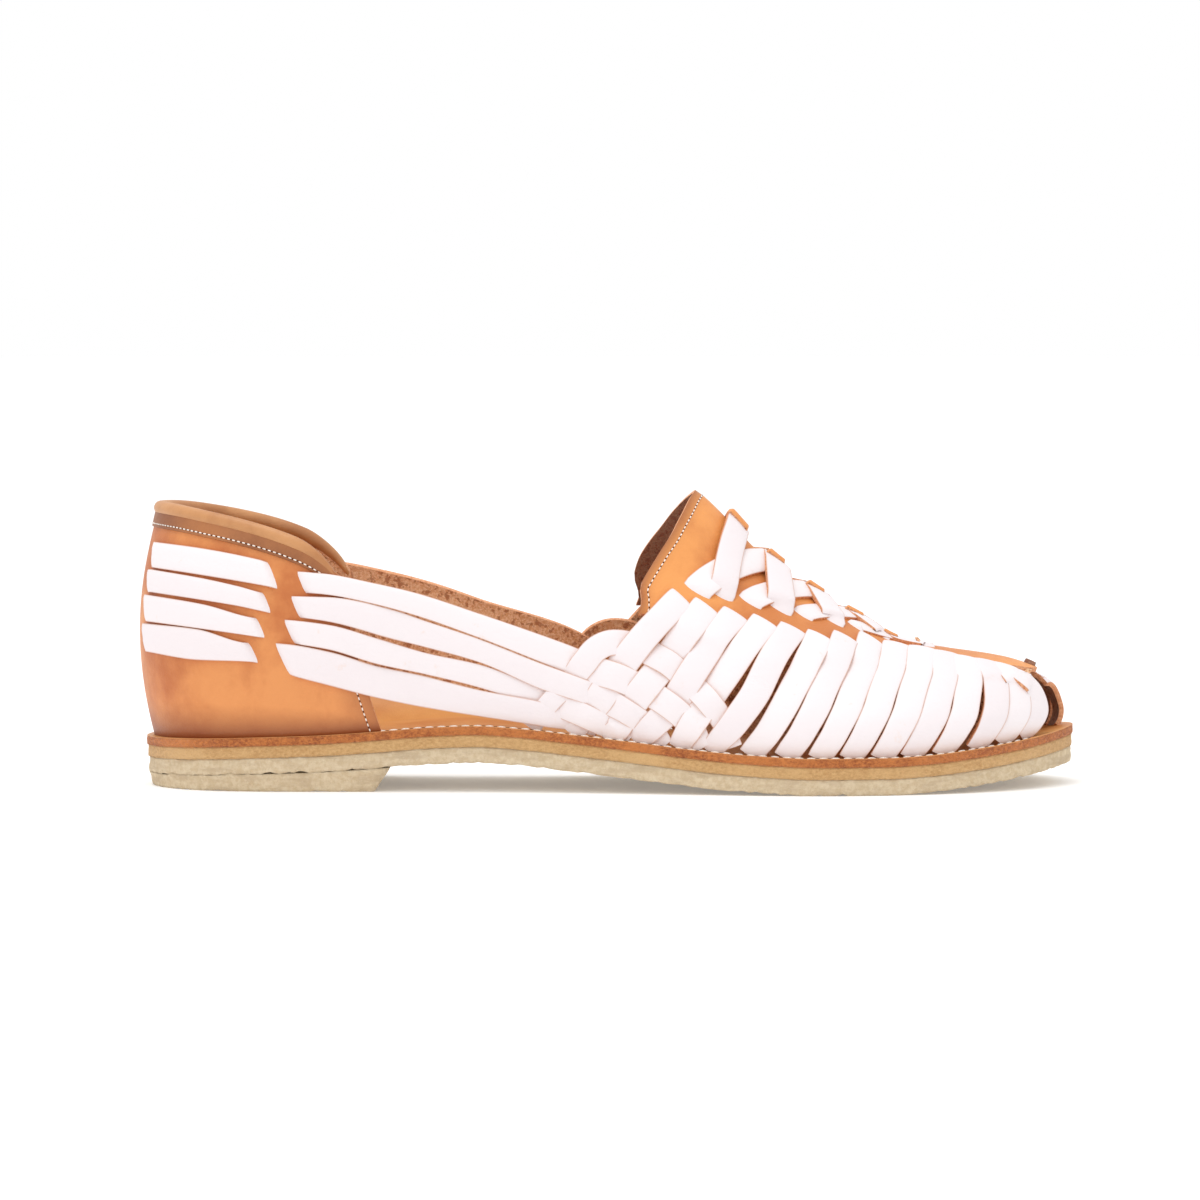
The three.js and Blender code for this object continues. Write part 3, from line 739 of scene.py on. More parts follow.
class Paint:
    """One material and its nodes."""

    def __init__(self, name, roughness=0.6, **settings):
        self.material = bpy.data.materials.new(name)
        self.material.use_nodes = True
        self.tree = self.material.node_tree
        self.shader = self.tree.nodes["Principled BSDF"]
        self.shader.inputs["Roughness"].default_value = roughness
        for socket, value in settings.items():
            self.shader.inputs[socket.replace("_", " ")].default_value = value

    def link(self, value, socket):
        if isinstance(value, Tone):
            value = value.socket
        if isinstance(value, bpy.types.NodeSocket):
            self.tree.links.new(value, socket)
        elif isinstance(value, (tuple, list)) and len(value) == 3:
            is_colour = socket.type == "RGBA"
            socket.default_value = (*value, 1) if is_colour else value
        else:
            socket.default_value = value

    def node(self, kind, settings=None, values=(), out=0):
        made = self.tree.nodes.new(kind)
        for name, value in (settings or {}).items():
            setattr(made, name, value)
        pairs = values.items() if isinstance(values, dict) else enumerate(values)
        for key, value in pairs:
            self.link(value, made.inputs[key])
        return Tone(self, made.outputs[out])

    def place(self):
        return self.node("ShaderNodeTexCoord", out="Object")

    def across_strip(self):
        """Where a point lies across its strip, from the strip's own map."""
        strip = self.node("ShaderNodeUVMap", {"uv_map": "strip"})
        return self.node("ShaderNodeSeparateXYZ", values=[strip], out=1)

    def share(self, name):
        return self.node("ShaderNodeAttribute", {"attribute_name": name}, out="Fac")

    def noise(self, scale, detail=4, rough=0.6, stretch=None, seed=0.0):
        spot = self.place()
        if stretch or seed:
            values = {"Vector": spot, "Scale": stretch or (1, 1, 1), "Location": (seed, seed, seed)}
            spot = self.node("ShaderNodeMapping", values=values)
        return self.node(
            "ShaderNodeTexNoise",
            values={"Vector": spot, "Scale": scale, "Detail": detail, "Roughness": rough},
        )

    def cells(self, scale):
        values = {"Vector": self.place(), "Scale": scale}
        return self.node("ShaderNodeTexVoronoi", values=values, out="Distance")

    def blend(self, share, a, b):
        settings = {"data_type": "RGBA", "clamp_factor": True}
        made = self.node("ShaderNodeMix", settings)
        node = made.socket.node
        self.link(share, node.inputs[0])
        self.link(a, node.inputs[6])
        self.link(b, node.inputs[7])
        return Tone(self, node.outputs[2])

    def finish(self, colour, roughness=None, height=None, depth=0.0005, strength=1.0):
        self.link(colour, self.shader.inputs["Base Color"])
        if roughness is not None:
            self.link(roughness, self.shader.inputs["Roughness"])
        if height is not None:
            values = {"Height": height, "Distance": depth, "Strength": strength}
            bump = self.node("ShaderNodeBump", values=values)
            self.link(bump, self.shader.inputs["Normal"])
        return self.material


def linear(red, green, blue):
    """A colour given as it looks on a screen, 0 to 255, as the shader takes it."""

    def part(value):
        v = value / 255
        return v / 12.92 if v <= 0.04045 else ((v + 0.055) / 1.055) ** 2.4

    return part(red), part(green), part(blue)


def white_leather():
    paint = Paint("white_leather", 0.5, Specular_IOR_Level=0.4)
    across = paint.across_strip()
    tone_and_inner_shade = paint.share("tone_and_inner_shade")
    cloud = paint.noise(60, 4, 0.6)
    grain = paint.noise(900, 5, 0.6)
    crease = paint.noise(220, 5, 0.65, stretch=(1, 1, 2.2), seed=3.1)
    # Painted shade: towards each strip's edges the white face blends to peach.
    edge = across.size().band(0.43, 0.5)
    rubbed = (paint.noise(180, 6, 0.7, seed=7.7) + edge * 0.12).band(0.62, 0.72)
    base = paint.blend(tone_and_inner_shade * 0.5 + cloud * 0.3, linear(233, 226, 227), linear(223, 212, 214))
    base = paint.blend(edge * 0.4, base, linear(222, 196, 184))
    base = paint.blend(rubbed * 0.3, base, linear(226, 198, 180))
    # Painted shade: a darker brown line at the strip's very border stands in for the shade of the
    # gaps between strips.
    base = paint.blend(across.size().band(0.46, 0.5) * 0.6, base, linear(186, 136, 108))
    height = grain * 0.25 + crease * 0.75
    return paint.finish(base, 0.42 + cloud * 0.2, height, 0.0004, 0.55)


def strip_edge_leather():
    paint = Paint("strip_edge", 0.85)
    fibre = paint.noise(1500, 4, 0.7)
    base = paint.blend(fibre.band(0.3, 0.7), linear(196, 124, 80), linear(232, 176, 134))
    return paint.finish(base, None, fibre, 0.0003, 0.7)


def flesh_side():
    paint = Paint("flesh_side", 0.95, Sheen_Weight=0.25)
    fuzz = paint.noise(1400, 6, 0.75)
    patch = paint.noise(120, 5, 0.65)
    grit = paint.noise(620, 3, 0.6, seed=4.4)
    base = paint.blend(patch.band(0.35, 0.65), linear(214, 154, 108), linear(232, 178, 132))
    base = paint.blend(fuzz.band(0.42, 0.62), base, linear(248, 208, 170))
    base = paint.blend(grit.band(0.54, 0.6) * 0.7, base, linear(164, 94, 54))
    # Painted shade: on pieces marked above 1 (instep panel, toe strips) the flesh side turns dark
    # brown, standing in for the shade inside the shoe.
    base = paint.blend((paint.share("tone_and_inner_shade") - 1) * 0.8, base, linear(104, 44, 20))
    return paint.finish(base, None, fuzz * 0.6 + patch * 0.4, 0.0008, 0.9)


def tan_leather(name, light, dark, seed):
    paint = Paint(name, 0.45, Specular_IOR_Level=0.45)
    cloud = paint.noise(38, 5, 0.6, seed=seed)
    streak = paint.noise(90, 5, 0.65, stretch=(1, 1, 0.5), seed=seed + 2)
    grain = paint.noise(1200, 5, 0.65)
    pores = paint.cells(1500)
    edge = paint.share("edge")
    base = paint.blend(cloud.band(0.35, 0.68), light, dark)
    base = paint.blend(streak.band(0.5, 0.75) * 0.35, base, dark)
    # Darker brown where the edge layer is set: on the heel panel this includes painted shade along
    # its bottom, where it curves in to the sole; elsewhere it only darkens towards borders and
    # ends.
    base = paint.blend(edge * 0.7, base, linear(124, 60, 26))
    height = grain * 0.5 + pores * 0.3 + streak * 0.4
    return paint.finish(base, 0.38 + cloud * 0.18, height, 0.0003, 0.5)


def raw_edge(name, light, dark):
    """Cut fibrous edge of a leather layer."""
    paint = Paint(name, 0.92, Sheen_Weight=0.15)
    fibre = paint.noise(900, 6, 0.75, stretch=(1, 1, 1.6))
    patch = paint.noise(70, 4, 0.6)
    base = paint.blend(fibre.band(0.3, 0.7), dark, light)
    base = paint.blend(patch.band(0.42, 0.7) * 0.7, base, light)
    speck = paint.noise(2200, 3, 0.7)
    base = paint.blend(speck.band(0.6, 0.68) * 0.5, base, dark)
    return paint.finish(base, None, fibre, 0.0009, 0.9)


def crepe_rubber():
    paint = Paint("crepe_rubber", 0.8)
    crumb = paint.noise(650, 5, 0.7)
    fine = paint.noise(1900, 4, 0.7)
    streak = paint.noise(90, 4, 0.6, stretch=(1, 1, 5))
    base = paint.blend(crumb.band(0.35, 0.7), linear(198, 176, 142), linear(216, 198, 168))
    base = paint.blend(streak.band(0.45, 0.7) * 0.7, base, linear(186, 164, 134))
    base = paint.blend(fine.band(0.62, 0.72) * 0.5, base, linear(230, 218, 194))
    return paint.finish(base, None, crumb * 0.7 + fine * 0.3, 0.0009, 0.8)


def thread():
    paint = Paint("stitch_thread", 0.75)
    twist = paint.noise(3000, 2, 0.5)
    base = paint.blend(twist.band(0.35, 0.65), linear(226, 214, 202), linear(250, 246, 240))
    return paint.finish(base, None, twist, 0.0002, 0.6)


# Dark brown marks between the stitches: painted shade of the needle holes.
def hole_shade_paint():
    paint = Paint("stitch_hole_shade", 0.95)
    shade = paint.noise(900, 2)
    return paint.finish(paint.blend(shade, linear(60, 26, 12), linear(92, 44, 22)))


WHITE = white_leather()
STRIP_EDGE = strip_edge_leather()
FLESH = flesh_side()
TAN = tan_leather("tan_leather", linear(216, 140, 78), linear(182, 100, 46), 1.3)
PANEL_TAN = tan_leather("panel_leather", linear(226, 150, 80), linear(198, 118, 56), 5.1)
BINDING = tan_leather("binding_leather", linear(196, 140, 90), linear(166, 108, 62), 9.4)
FOLD = tan_leather("fold_leather", linear(168, 106, 60), linear(136, 80, 42), 3.6)
INSOLE_TAN = tan_leather("insole_leather", linear(222, 160, 94), linear(204, 132, 70), 12.2)
INSOLE_EDGE = raw_edge("insole_edge", linear(212, 130, 64), linear(142, 66, 22))
MIDSOLE_EDGE = raw_edge("midsole_edge", linear(222, 180, 124), linear(190, 142, 86))
CREPE = crepe_rubber()
THREAD = thread()
HOLE_SHADE = hole_shade_paint()


# Building pieces


def finished(name, bm, materials, nodes):
    """Makes the shape a piece that rides on the shoe and stands for CAD nodes."""
    mesh = bpy.data.meshes.new(name)
    for face in bm.faces:
        face.smooth = True
    bm.to_mesh(mesh)
    bm.free()
    for material in materials:
        mesh.materials.append(material)
    piece = bpy.data.objects.new(name, mesh)
    bpy.context.scene.collection.objects.link(piece)
    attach(piece, "root")
    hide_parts(*nodes)
    return piece


def new_shape():
    """An empty shape with the layers that the materials read."""
    bm = bmesh.new()
    bm.verts.layers.float.new("tone_and_inner_shade")
    bm.verts.layers.float.new("edge")
    bm.loops.layers.uv.new("strip")
    return bm


def add_sheet(bm, columns, rows, spot, outer=None, uv=None, tone_and_inner_shade=0.0, edge=None):
    """Adds a sheet of points spot(s, t), s and t from 0 to 1; its middle faces along outer."""
    grid = bmesh.ops.create_grid(bm, x_segments=columns, y_segments=rows, size=0.5)["verts"]
    tints, edges = bm.verts.layers.float["tone_and_inner_shade"], bm.verts.layers.float["edge"]
    strip_map = bm.loops.layers.uv["strip"]
    middle = min(grid, key=lambda vert: vert.co.length)
    faces = list({face for vert in grid for face in vert.link_faces})
    for face in faces:
        for loop in face.loops:
            s, t = loop.vert.co.x + 0.5, loop.vert.co.y + 0.5
            loop[strip_map].uv = uv(s, t) if uv else (s, t - 0.5)
    for vert in grid:
        s, t = vert.co.x + 0.5, vert.co.y + 0.5
        vert[tints] = tone_and_inner_shade
        vert[edges] = edge(s, t) if edge else 0
        vert.co = place(spot(s, t))
    for face in faces:
        face.normal_update()
    if outer and middle.link_faces[0].normal.dot(outer) < 0:
        bmesh.ops.reverse_faces(bm, faces=faces)


def wall(piece, thickness, rim=1, inner=2, bevel=0.3):
    """Gives a sheet its thickness towards the inside, and softens its cut edges."""
    solid = piece.modifiers.new("wall", "SOLIDIFY")
    solid.thickness = thickness * MM
    solid.offset = -1
    solid.use_even_offset = False
    solid.material_offset = inner
    solid.material_offset_rim = rim
    edge = piece.modifiers.new("edge", "BEVEL")
    edge.width = bevel * MM
    edge.segments = 2
    edge.limit_method = "ANGLE"
    edge.angle_limit = math.radians(50)
    return piece


def spot_at(w, h, width, lift):
    """Middle of a strip's outer side, its width and the way it faces."""
    return raised(w, h, lift + STRIP), width, outward(w, h)


def strip_along(bm, rows, samples, tone_and_inner_shade, across=6):
    """A leather strip along rows of turn, rise, width and lift."""
    ribbon(bm, [spot_at(*row) for row in resample(rows, samples)], tone_and_inner_shade, across)


def ribbon(bm, spots, tone_and_inner_shade, across=6):
    """A leather strip along spots, slightly lower at its two edges."""
    samples = len(spots) - 1
    lengths = [0.0]
    for (a, _, _), (b, _, _) in zip(spots, spots[1:]):
        lengths.append(lengths[-1] + (b - a).length)

    def spot(s, t):
        i = round(s * samples)
        centre, width, normal = spots[i]
        a = spots[max(0, i - 1)][0]
        b = spots[min(samples, i + 1)][0]
        side = (b - a).cross(normal).normalized()
        off = 2 * t - 1
        curl = STRIP_CROWN * off**2 + 0.25 * STRIP_CROWN * abs(off) ** 6
        return centre + side * off * width / 2 - normal * curl

    def uv(s, t):
        return lengths[round(s * samples)] * MM, t - 0.5

    add_sheet(bm, samples, across, spot, spots[samples // 2][2], uv, tone_and_inner_shade)


def strap(bm, k, tone_and_inner_shade, across=8):
    """A strap from one waist round the heel to the other."""
    samples = 120
    rows = []
    for i in range(samples + 1):
        u = STRAP_REACH[k] * i / samples
        edges = [rise_for(u, STRAPS[k], column, OVER + STRIP) for column in (1, 2)]
        rows.append((u, *edges))

    def spot(s, t):
        i = round((2 * s - 1) * samples)
        u, high, low = rows[abs(i)]
        if k == 0 and i > 0:
            high += INNER_RISE * smooth(INNER_SPAN, 1, u)
        h = low + (high - low) * t
        gx, gy = seen(u, h)
        middle = seen(u, (high + low) / 2)[1]
        if u < HEEL_SLOT[1][0] + HEEL_SLANT:
            lift = smooth(HEEL_SLOT, 1, u - HEEL_SLANT * (1 - t))
        elif gx > STRAP_ENDS[k][0][0]:
            lift = smooth(STRAP_ENDS[k], 1, gx)
        else:
            lift = smooth(STRAP_LIFT, 1, gx + SLOT_BACK[k] - SLOT_SLANT[k] * (gy - middle))
        curl = 0.35 * (2 * t - 1) ** 4
        return raised(-u if i < 0 else u, h, lift + STRIP - curl)

    def uv(s, t):
        return s * STRAP_RUN, t - 0.5

    add_sheet(bm, 2 * samples, across, spot, outward(0, 0.3), uv, tone_and_inner_shade)


def strips_piece():
    bm = new_shape()
    tints = [0.1, 0.5, 0.3, 0.7, 0.2, 0.6, 0.0, 0.4]
    for k in range(len(STRAPS)):
        strap(bm, k, tints[k])
    routes = [list(rows) for rows in RISERS]
    for bx, by, bow, tx, ty in FOREPART:

        def at(t, lift):
            width = FOREPART_FOOT_WIDTH + (FOREPART_WIDTH - FOREPART_FOOT_WIDTH) * min(1, 2 * t)
            across = bx + (tx - bx) * t + bow * 4 * t * (1 - t)
            return across, by + (ty - by) * t, width, lift

        steps = [(0, 0.3), (0.25, 0.6), (0.5, 1), (0.75, 2), (0.88, OVER), (1, OVER)]
        routes.append([at(t, lift) for t, lift in steps])
    for side in (-1, 1):
        for k, route in enumerate(routes):
            rows = onto(route, side)
            w, h = rows[-1][:2]
            if k < STRAIGHT_FROM:
                u, rise = on_side(*INNER_SLOTS[k])
                rows.append((w + (side * u - w) * 0.4, h + (rise - h) * 0.4, 7, UNDER))
                rows.append((side * u, rise - 0.03, LATTICE_WIDTH, UNDER))
            elif h < CREST_RISE - 0.03:
                rows.append((w, h + (CREST_RISE - h) * 0.5, FOREPART_WIDTH, UNDER))
                rows.append((w, CREST_RISE, FOREPART_WIDTH, UNDER))
            strip_along(bm, rows, 44, tints[(3 * k + side) % 8])
        for k, route in enumerate(BRAID):
            strip_along(bm, onto(route, side), 60, tints[(5 * k + 2) % 8])
    for foot, top in TOE_STRIPS:
        rows = []
        for t in (0, 0.2, 0.4, 0.6, 0.8, CREST_RISE):
            lift = 0.3 if t < 0.1 else UNDER
            rows.append((foot + (top - foot) * t, t, FOREPART_FOOT_WIDTH, lift))
        # 1.8 paints these strips' flesh side dark brown as shade inside the toe, and gives their
        # white face the darker tone.
        strip_along(bm, rows, 30, 1.8)
    for start, end, top in crest_links():
        ribbon(bm, laced_spots(start, end, top), tints[(start + 2 * end) % 8])
    piece = finished("leather_strips", bm, [WHITE, STRIP_EDGE, FLESH], ["upper"])
    return wall(piece, STRIP)


def crest_links():
    """Pairs of slots that a strip joins over the crest, and whether it lies on top."""
    links = [(1, 1, False)]
    for k in (0, 2, 4, 6):
        links += [(k, k + 3, False), (k + 3, k, True)]
    return links


def laced_spots(start, end, top, samples=60):
    """Spots of a strip from a near slot, over the crest and into a far slot."""
    near_slot, far_slot = on_side(*INNER_SLOTS[start]), on_side(*INNER_SLOTS[end])
    straight = start == end
    ahead = min(start, end)
    low = OVER - 0.12 * ahead
    near = low + (CROSSED * (1 - ahead / 8) if top or start % 2 else 0)
    far = low + (CROSSED * (1 - ahead / 8) if end % 2 else 0)
    width = LATTICE_WIDTH * (1 - 0.06 * ahead)
    entry = (PANEL_LAYER + OVER) / 2
    lifts = [
        (-1.1, UNDER),
        (-1, entry),
        (-0.85, near),
        (-0.2, near),
        (0.2, far),
        (0.85, far),
        (1, entry),
        (1.1, UNDER),
    ]
    crest = crest_turn(TABS[0 if straight else 1 + min(start, end) // 2])
    spots = []
    for i in range(samples + 1):
        at = lifts[0][0] + (lifts[-1][0] - lifts[0][0]) * i / samples
        u, h = near_slot if at < 0 else far_slot
        up = 1 - abs(at)
        side = -1 if at < 0 else 1
        turn = side * (u + (crest - u) * max(0, up))
        rise = h + (LACED_RISE - h) * up if up > 0 else h + up * SLOT_DIP
        spots.append(spot_at(turn, rise, width, smooth(lifts, 1, at)))
    return spots


def heel_panel_piece():
    bm = new_shape()

    def spot(s, t):
        w = (FRONT_LOW + (FRONT_TOP - FRONT_LOW) * t) * (2 * s - 1)
        h = t * collar_rise(abs(w), ROLL_RADIUS + GAP - 1.2)
        return raised(w, h, SKIN)

    # Darker within about 4 mm of the panel's borders, and painted shade in a band along its bottom,
    # where it curves in to the sole.
    def edge(s, t):
        across, up = 84 * min(s, 1 - s), 60 * min(t, 1 - t)
        border = max(0, 1 - min(across, up) / 4) * 0.8
        return max(border, 1.4 - 60 * t / 6)

    add_sheet(bm, 120, 26, spot, outward(0, 0.3), edge=edge)
    piece = finished("heel_panel", bm, [TAN, STRIP_EDGE, FLESH], ["counter"])
    return wall(piece, PANEL)


def instep_panel_piece():
    bm = new_shape()
    columns, rows = 110, 50
    waist = PANEL_START[2][1]
    turns = [waist + (PANEL_END - waist) * i / columns for i in range(columns + 1)]
    edges = [rise_for(u, PANEL_EDGE, 1) for u in turns]

    def on_panel(side, along, across):
        low = edges[round(along * columns)]
        low += (1 - low) * smooth(PANEL_TIP, 1, along)
        rise = low + (1 - low) * across
        start = smooth(PANEL_START, 1 if side < 0 else 2, rise)
        return raised(side * (start + (PANEL_END - start) * along), rise, SKIN)

    def spot(s, t):
        off = 2 * t - 1
        if abs(off) < 1 / rows:
            return (on_panel(-1, s, 0.97) + on_panel(1, s, 0.97)) / 2
        return on_panel(math.copysign(1, off), s, 0.99 * (1 - abs(off)))

    def edge(s, t):
        return max(0, 1 - 150 * min(s, 1 - s) / 3)

    # A value of 2 paints the panel's flesh side dark brown as shade inside the shoe.
    add_sheet(bm, columns, rows, spot, Vector((0, 0, 1)), tone_and_inner_shade=2, edge=edge)
    for at in TABS:
        add_tab(bm, at)
    materials = [PANEL_TAN, STRIP_EDGE, FLESH]
    piece = finished("instep_leather", bm, materials, ["instep_panel"])
    return wall(piece, PANEL)


def crest_turn(share):
    low, high = 0.0, 1.0
    for _ in range(20):
        u = (low + high) / 2
        if smooth(RIB_TOPS, 1, u) < share:
            low = u
        else:
            high = u
    return (low + high) / 2


def add_tab(bm, at):
    """A tongue of the panel that holds a crossing of the strips down."""
    top = TAB_LAYER - TAB_SINK - TAB_FALL * max(0, TABS.index(at) - 1)
    steps = [(-1.5, top - 1), (-1.1, top), (1.1, top), (1.5, top - 1)]
    rows = []
    for shift, lift in steps:
        rows.append((-crest_turn(at + shift * TAB_LENGTH), 0.985, TAB_WIDTH, lift))
    strip_along(bm, rows, 20, 0, 4)


def binding_piece():
    """Rolled collar edge with the fold that is stitched to the heel panel."""
    bm = new_shape()
    columns = 120
    middle = PANEL_LAYER + PANEL / 2
    rings = []
    for j in range(columns + 1):
        w = FRONT_TOP * (2 * j / columns - 1)
        taper = min(1, 12 * min(j, columns - j) / columns)
        dip = ROLL_DIP * (1 - taper) ** 2
        h = collar_rise(abs(w), dip)
        low = collar_rise(abs(w), ROLL_RADIUS + dip)
        centre = raised(w, h, middle)
        down = (raised(w, low, middle) - centre).normalized()
        radius = ROLL_RADIUS * (0.45 + 0.55 * math.sqrt(taper))
        rings.append((w, centre, outward(w, h) * radius, down * radius))

    def roll(s, t):
        _, centre, out, down = rings[round(s * columns)]
        a = 2 * math.pi * t
        return centre + out * math.cos(a) + down * math.sin(a)

    def fold(s, t):
        w = rings[round(s * columns)][0]
        top = collar_rise(abs(w), ROLL_RADIUS * 0.6)
        low = collar_rise(abs(w), ROLL_RADIUS + ROLL_BAND)
        return raised(w, low + (top - low) * t, SKIN + BAND_LIFT - 0.15 * (1 - t))

    add_sheet(bm, columns, 16, roll)
    bmesh.ops.remove_doubles(bm, verts=bm.verts, dist=1e-6)
    ends = [e for e in bm.edges if e.is_boundary]
    bmesh.ops.holes_fill(bm, edges=ends, sides=0)
    bmesh.ops.recalc_face_normals(bm, faces=bm.faces)
    finished("collar_roll", bm, [BINDING], ["collar_binding"])
    bm = new_shape()
    add_sheet(bm, columns, 6, fold, outward(0, 0.5))
    band = finished("collar_fold", bm, [FOLD, FOLD, FLESH], ["collar_binding"])
    return wall(band, BAND_WALL, bevel=0.2)


# Sole


def doubled(bm, stations, across, spot):
    """Adds a level sheet and a second one joined to it, and gives the second one's points."""
    add_sheet(bm, stations, across, spot, Vector((0, 0, 1)))
    bmesh.ops.remove_doubles(bm, verts=bm.verts, dist=2e-6)
    made = bmesh.ops.extrude_face_region(bm, geom=bm.faces[:])
    return [v for v in made["geom"] if isinstance(v, bmesh.types.BMVert)]


def mark_side(bm, below, cuts):
    """Divides the upright side between the two sheets and gives it its own material."""
    bmesh.ops.recalc_face_normals(bm, faces=bm.faces)
    lower = set(below)
    posts = [e for e in bm.edges if (e.verts[0] in lower) != (e.verts[1] in lower)]
    bmesh.ops.subdivide_edges(bm, edges=posts, cuts=cuts)
    bm.normal_update()
    for face in bm.faces:
        if abs(face.normal.z) < 0.6:
            face.material_index = 1


def sole_layer(inset, low, high, cuts=6):
    """One layer of the sole between two heights."""
    bm = new_shape()
    stations, across = 220, 12

    def spot(s, t):
        x, outer = outline_at(s, -1, inset)
        _, inner = outline_at(s, 1, inset)
        return x, outer + (inner - outer) * t, high(x)

    below = doubled(bm, stations, across, spot)
    for vert in below:
        x = (vert.co.x - SHIFT.x) / MM
        vert.co.z = low(x) * MM
    mark_side(bm, below, cuts)
    return bm


def roughen(bm, amount, drop, scale):
    """Moves the side's points in and out, and the lower rim up and down."""
    side = {v for f in bm.faces if f.material_index == 1 for v in f.verts}
    lowest = {}
    for vert in side:
        key = round(vert.co.x * 2000), round(vert.co.y * 2000)
        lowest[key] = min(lowest.get(key, 9), vert.co.z)
    for vert in side:
        out = Vector((vert.normal.x, vert.normal.y, 0))
        if out.length < 0.1:
            continue
        out.normalize()
        n = noise.fractal(vert.co * scale, 0.9, 2.1, 4)
        key = round(vert.co.x * 2000), round(vert.co.y * 2000)
        near_floor = max(0, 1 - (vert.co.z - lowest[key]) / 0.0012)
        vert.co += out * (n * amount - 0.25 * amount) * MM
        vert.co.z += near_floor * max(0, n + 0.1) * drop * MM


def outsole_top(x):
    return underside(x) + OUTSOLE_THICKNESS


def midsole_top(x):
    return outsole_top(x) + MIDSOLE_THICKNESS


def sole_pieces():
    bm = sole_layer(OUTSOLE_INSET, underside, outsole_top)
    roughen(bm, 0.4, 0.8, 480)
    finished("crepe_outsole", bm, [CREPE, CREPE], ["outsole"])
    bm = sole_layer(MIDSOLE_INSET, outsole_top, midsole_top, 4)
    roughen(bm, 0.18, 0, 500)
    finished("leather_midsole", bm, [MIDSOLE_EDGE, MIDSOLE_EDGE], ["midsole"])
    bm = sole_layer(0, midsole_top, sole_top, 3)
    roughen(bm, 0.2, 0, 650)
    add_insole_cup(bm)
    finished("leather_insole", bm, [INSOLE_TAN, INSOLE_EDGE], ["insole"])


def add_insole_cup(bm):
    """The insole rises against the inner side at the waist."""

    def spot(s, t):
        x = CUP_BACK + (CUP_FRONT - CUP_BACK) * s
        turn = math.acos(-x / (LENGTH / 2)) / math.pi
        y = (outline_at(turn, 1, 0)[1] - FEATHER_MARGIN + 1) * t
        fade = smooth([(0, 0), (0.25, 1), (1, 0)], 1, s)
        return x, y, sole_top(x) - 0.3 + CUP_RISE * fade * t**3

    add_sheet(bm, 40, 16, spot, Vector((0, 0, 1)))


def heel_lift_piece():
    bm = new_shape()
    reach = math.acos(1 - 2 * LIFT_SHARE) / math.pi
    stations, across = 90, 12

    def spot(s, t):
        turn = s * reach
        x, outer = outline_at(turn, -1, OUTSOLE_INSET)
        _, inner = outline_at(turn, 1, OUTSOLE_INSET)
        x += BREAST_SLOPE if s == 1 else 0
        return x, outer + (inner - outer) * t, underside(x)

    below = doubled(bm, stations, across, spot)
    front = max(v.co.x for v in below)
    pull = 1 - LIFT_INSET * LIFT_PULL / (BALL_WIDTH / 3)
    back = 1 - LIFT_INSET * LIFT_PULL / (LENGTH / 2)
    for vert in below:
        vert.co.z = 0
        if vert.co.x > front - 1e-5:
            vert.co.x -= BREAST_SLOPE * MM
        vert.co.y = SHIFT.y + (vert.co.y - SHIFT.y) * pull
        if vert.co.x < HEEL_CURVE:
            vert.co.x = SHIFT.x + (vert.co.x - SHIFT.x) * back
    mark_side(bm, below, 6)
    roughen(bm, 0.35, 0.5, 420)
    return finished("crepe_heel_lift", bm, [CREPE, CREPE], ["heel_lift"])


# Stitches


def add_stitch(bm, centre, along, normal, length, width, height, material):
    ball = bmesh.ops.create_uvsphere(bm, u_segments=8, v_segments=5, radius=0.5)["verts"]
    side = normal.cross(along).normalized()
    along = along.normalized()
    for vert in ball:
        x, y, z = vert.co
        shift = along * x * length + side * y * width + normal * z * height
        vert.co = place(centre + shift)
    for face in {f for v in ball for f in v.link_faces}:
        face.material_index = material


def stitch_line(bm, spots, normals, pitch, length, width):
    """Stitches of one length at one pitch along a row of points."""
    travelled, due = 0.0, pitch / 2
    for (a, b), normal in zip(zip(spots, spots[1:]), normals):
        step = (b - a).length
        while travelled + step >= due:
            t = (due - travelled) / step
            centre = a.lerp(b, t)
            along = (b - a).normalized()
            add_stitch(bm, centre, along, normal, length, width, width, 0)
            # A dark mark in the needle hole, as painted shade of the hole.
            hole = centre + along * pitch / 2 - normal * 0.05
            add_stitch(bm, hole, along, normal, pitch - length + 0.1, width, 0.3, 1)
            due += pitch
        travelled += step


def stitches_piece():
    bm = bmesh.new()
    up = Vector((0, 0, 1))
    for side in (-1, 1):
        spots = []
        for i in range(301):
            turn = RIM_STITCHES[0] + (RIM_STITCHES[1] - RIM_STITCHES[0]) * i / 300
            x, y = outline_at(turn, side, RIM_STITCH_INSET)
            spots.append(Vector((x, y, sole_top(x) + STITCH_LIFT)))
        stitch_line(bm, spots, [up] * 300, *RIM_STITCH)
    spots, normals = [], []
    for i in range(201):
        w = FRONT_TOP * 0.985 * (2 * i / 200 - 1)
        h = collar_rise(abs(w), ROLL_RADIUS + ROLL_BAND - 0.9)
        normals.append(outward(w, h))
        spots.append(raised(w, h, SKIN + BAND_LIFT - 0.08))
    stitch_line(bm, spots, normals, *FOLD_STITCH)
    for side in (-1, 1):
        spots, normals = [], []
        for i in range(41):
            t = i / 40 * 0.42
            w = side * (FRONT_LOW + (FRONT_TOP - FRONT_LOW) * t - FRONT_STITCH_INSET)
            h = t * collar_rise(abs(w), ROLL_RADIUS + GAP)
            normals.append(outward(w, h))
            spots.append(raised(w, h, SKIN + STITCH_LIFT))
        stitch_line(bm, spots, normals, *EDGE_STITCH)
        spots, normals = [], []
        edge = rise_for(PANEL_START[2][1], PANEL_EDGE, 1)
        for i in range(61):
            h = edge + (0.97 - edge) * i / 60
            u = smooth(PANEL_START, 1 if side < 0 else 2, h) + THROAT_STITCH_INSET
            normals.append(outward(side * u, h))
            spots.append(raised(side * u, h, SKIN + STITCH_LIFT))
        stitch_line(bm, spots, normals, *EDGE_STITCH)
    return finished("stitches", bm, [THREAD, HOLE_SHADE], ["upper"])


# Scene


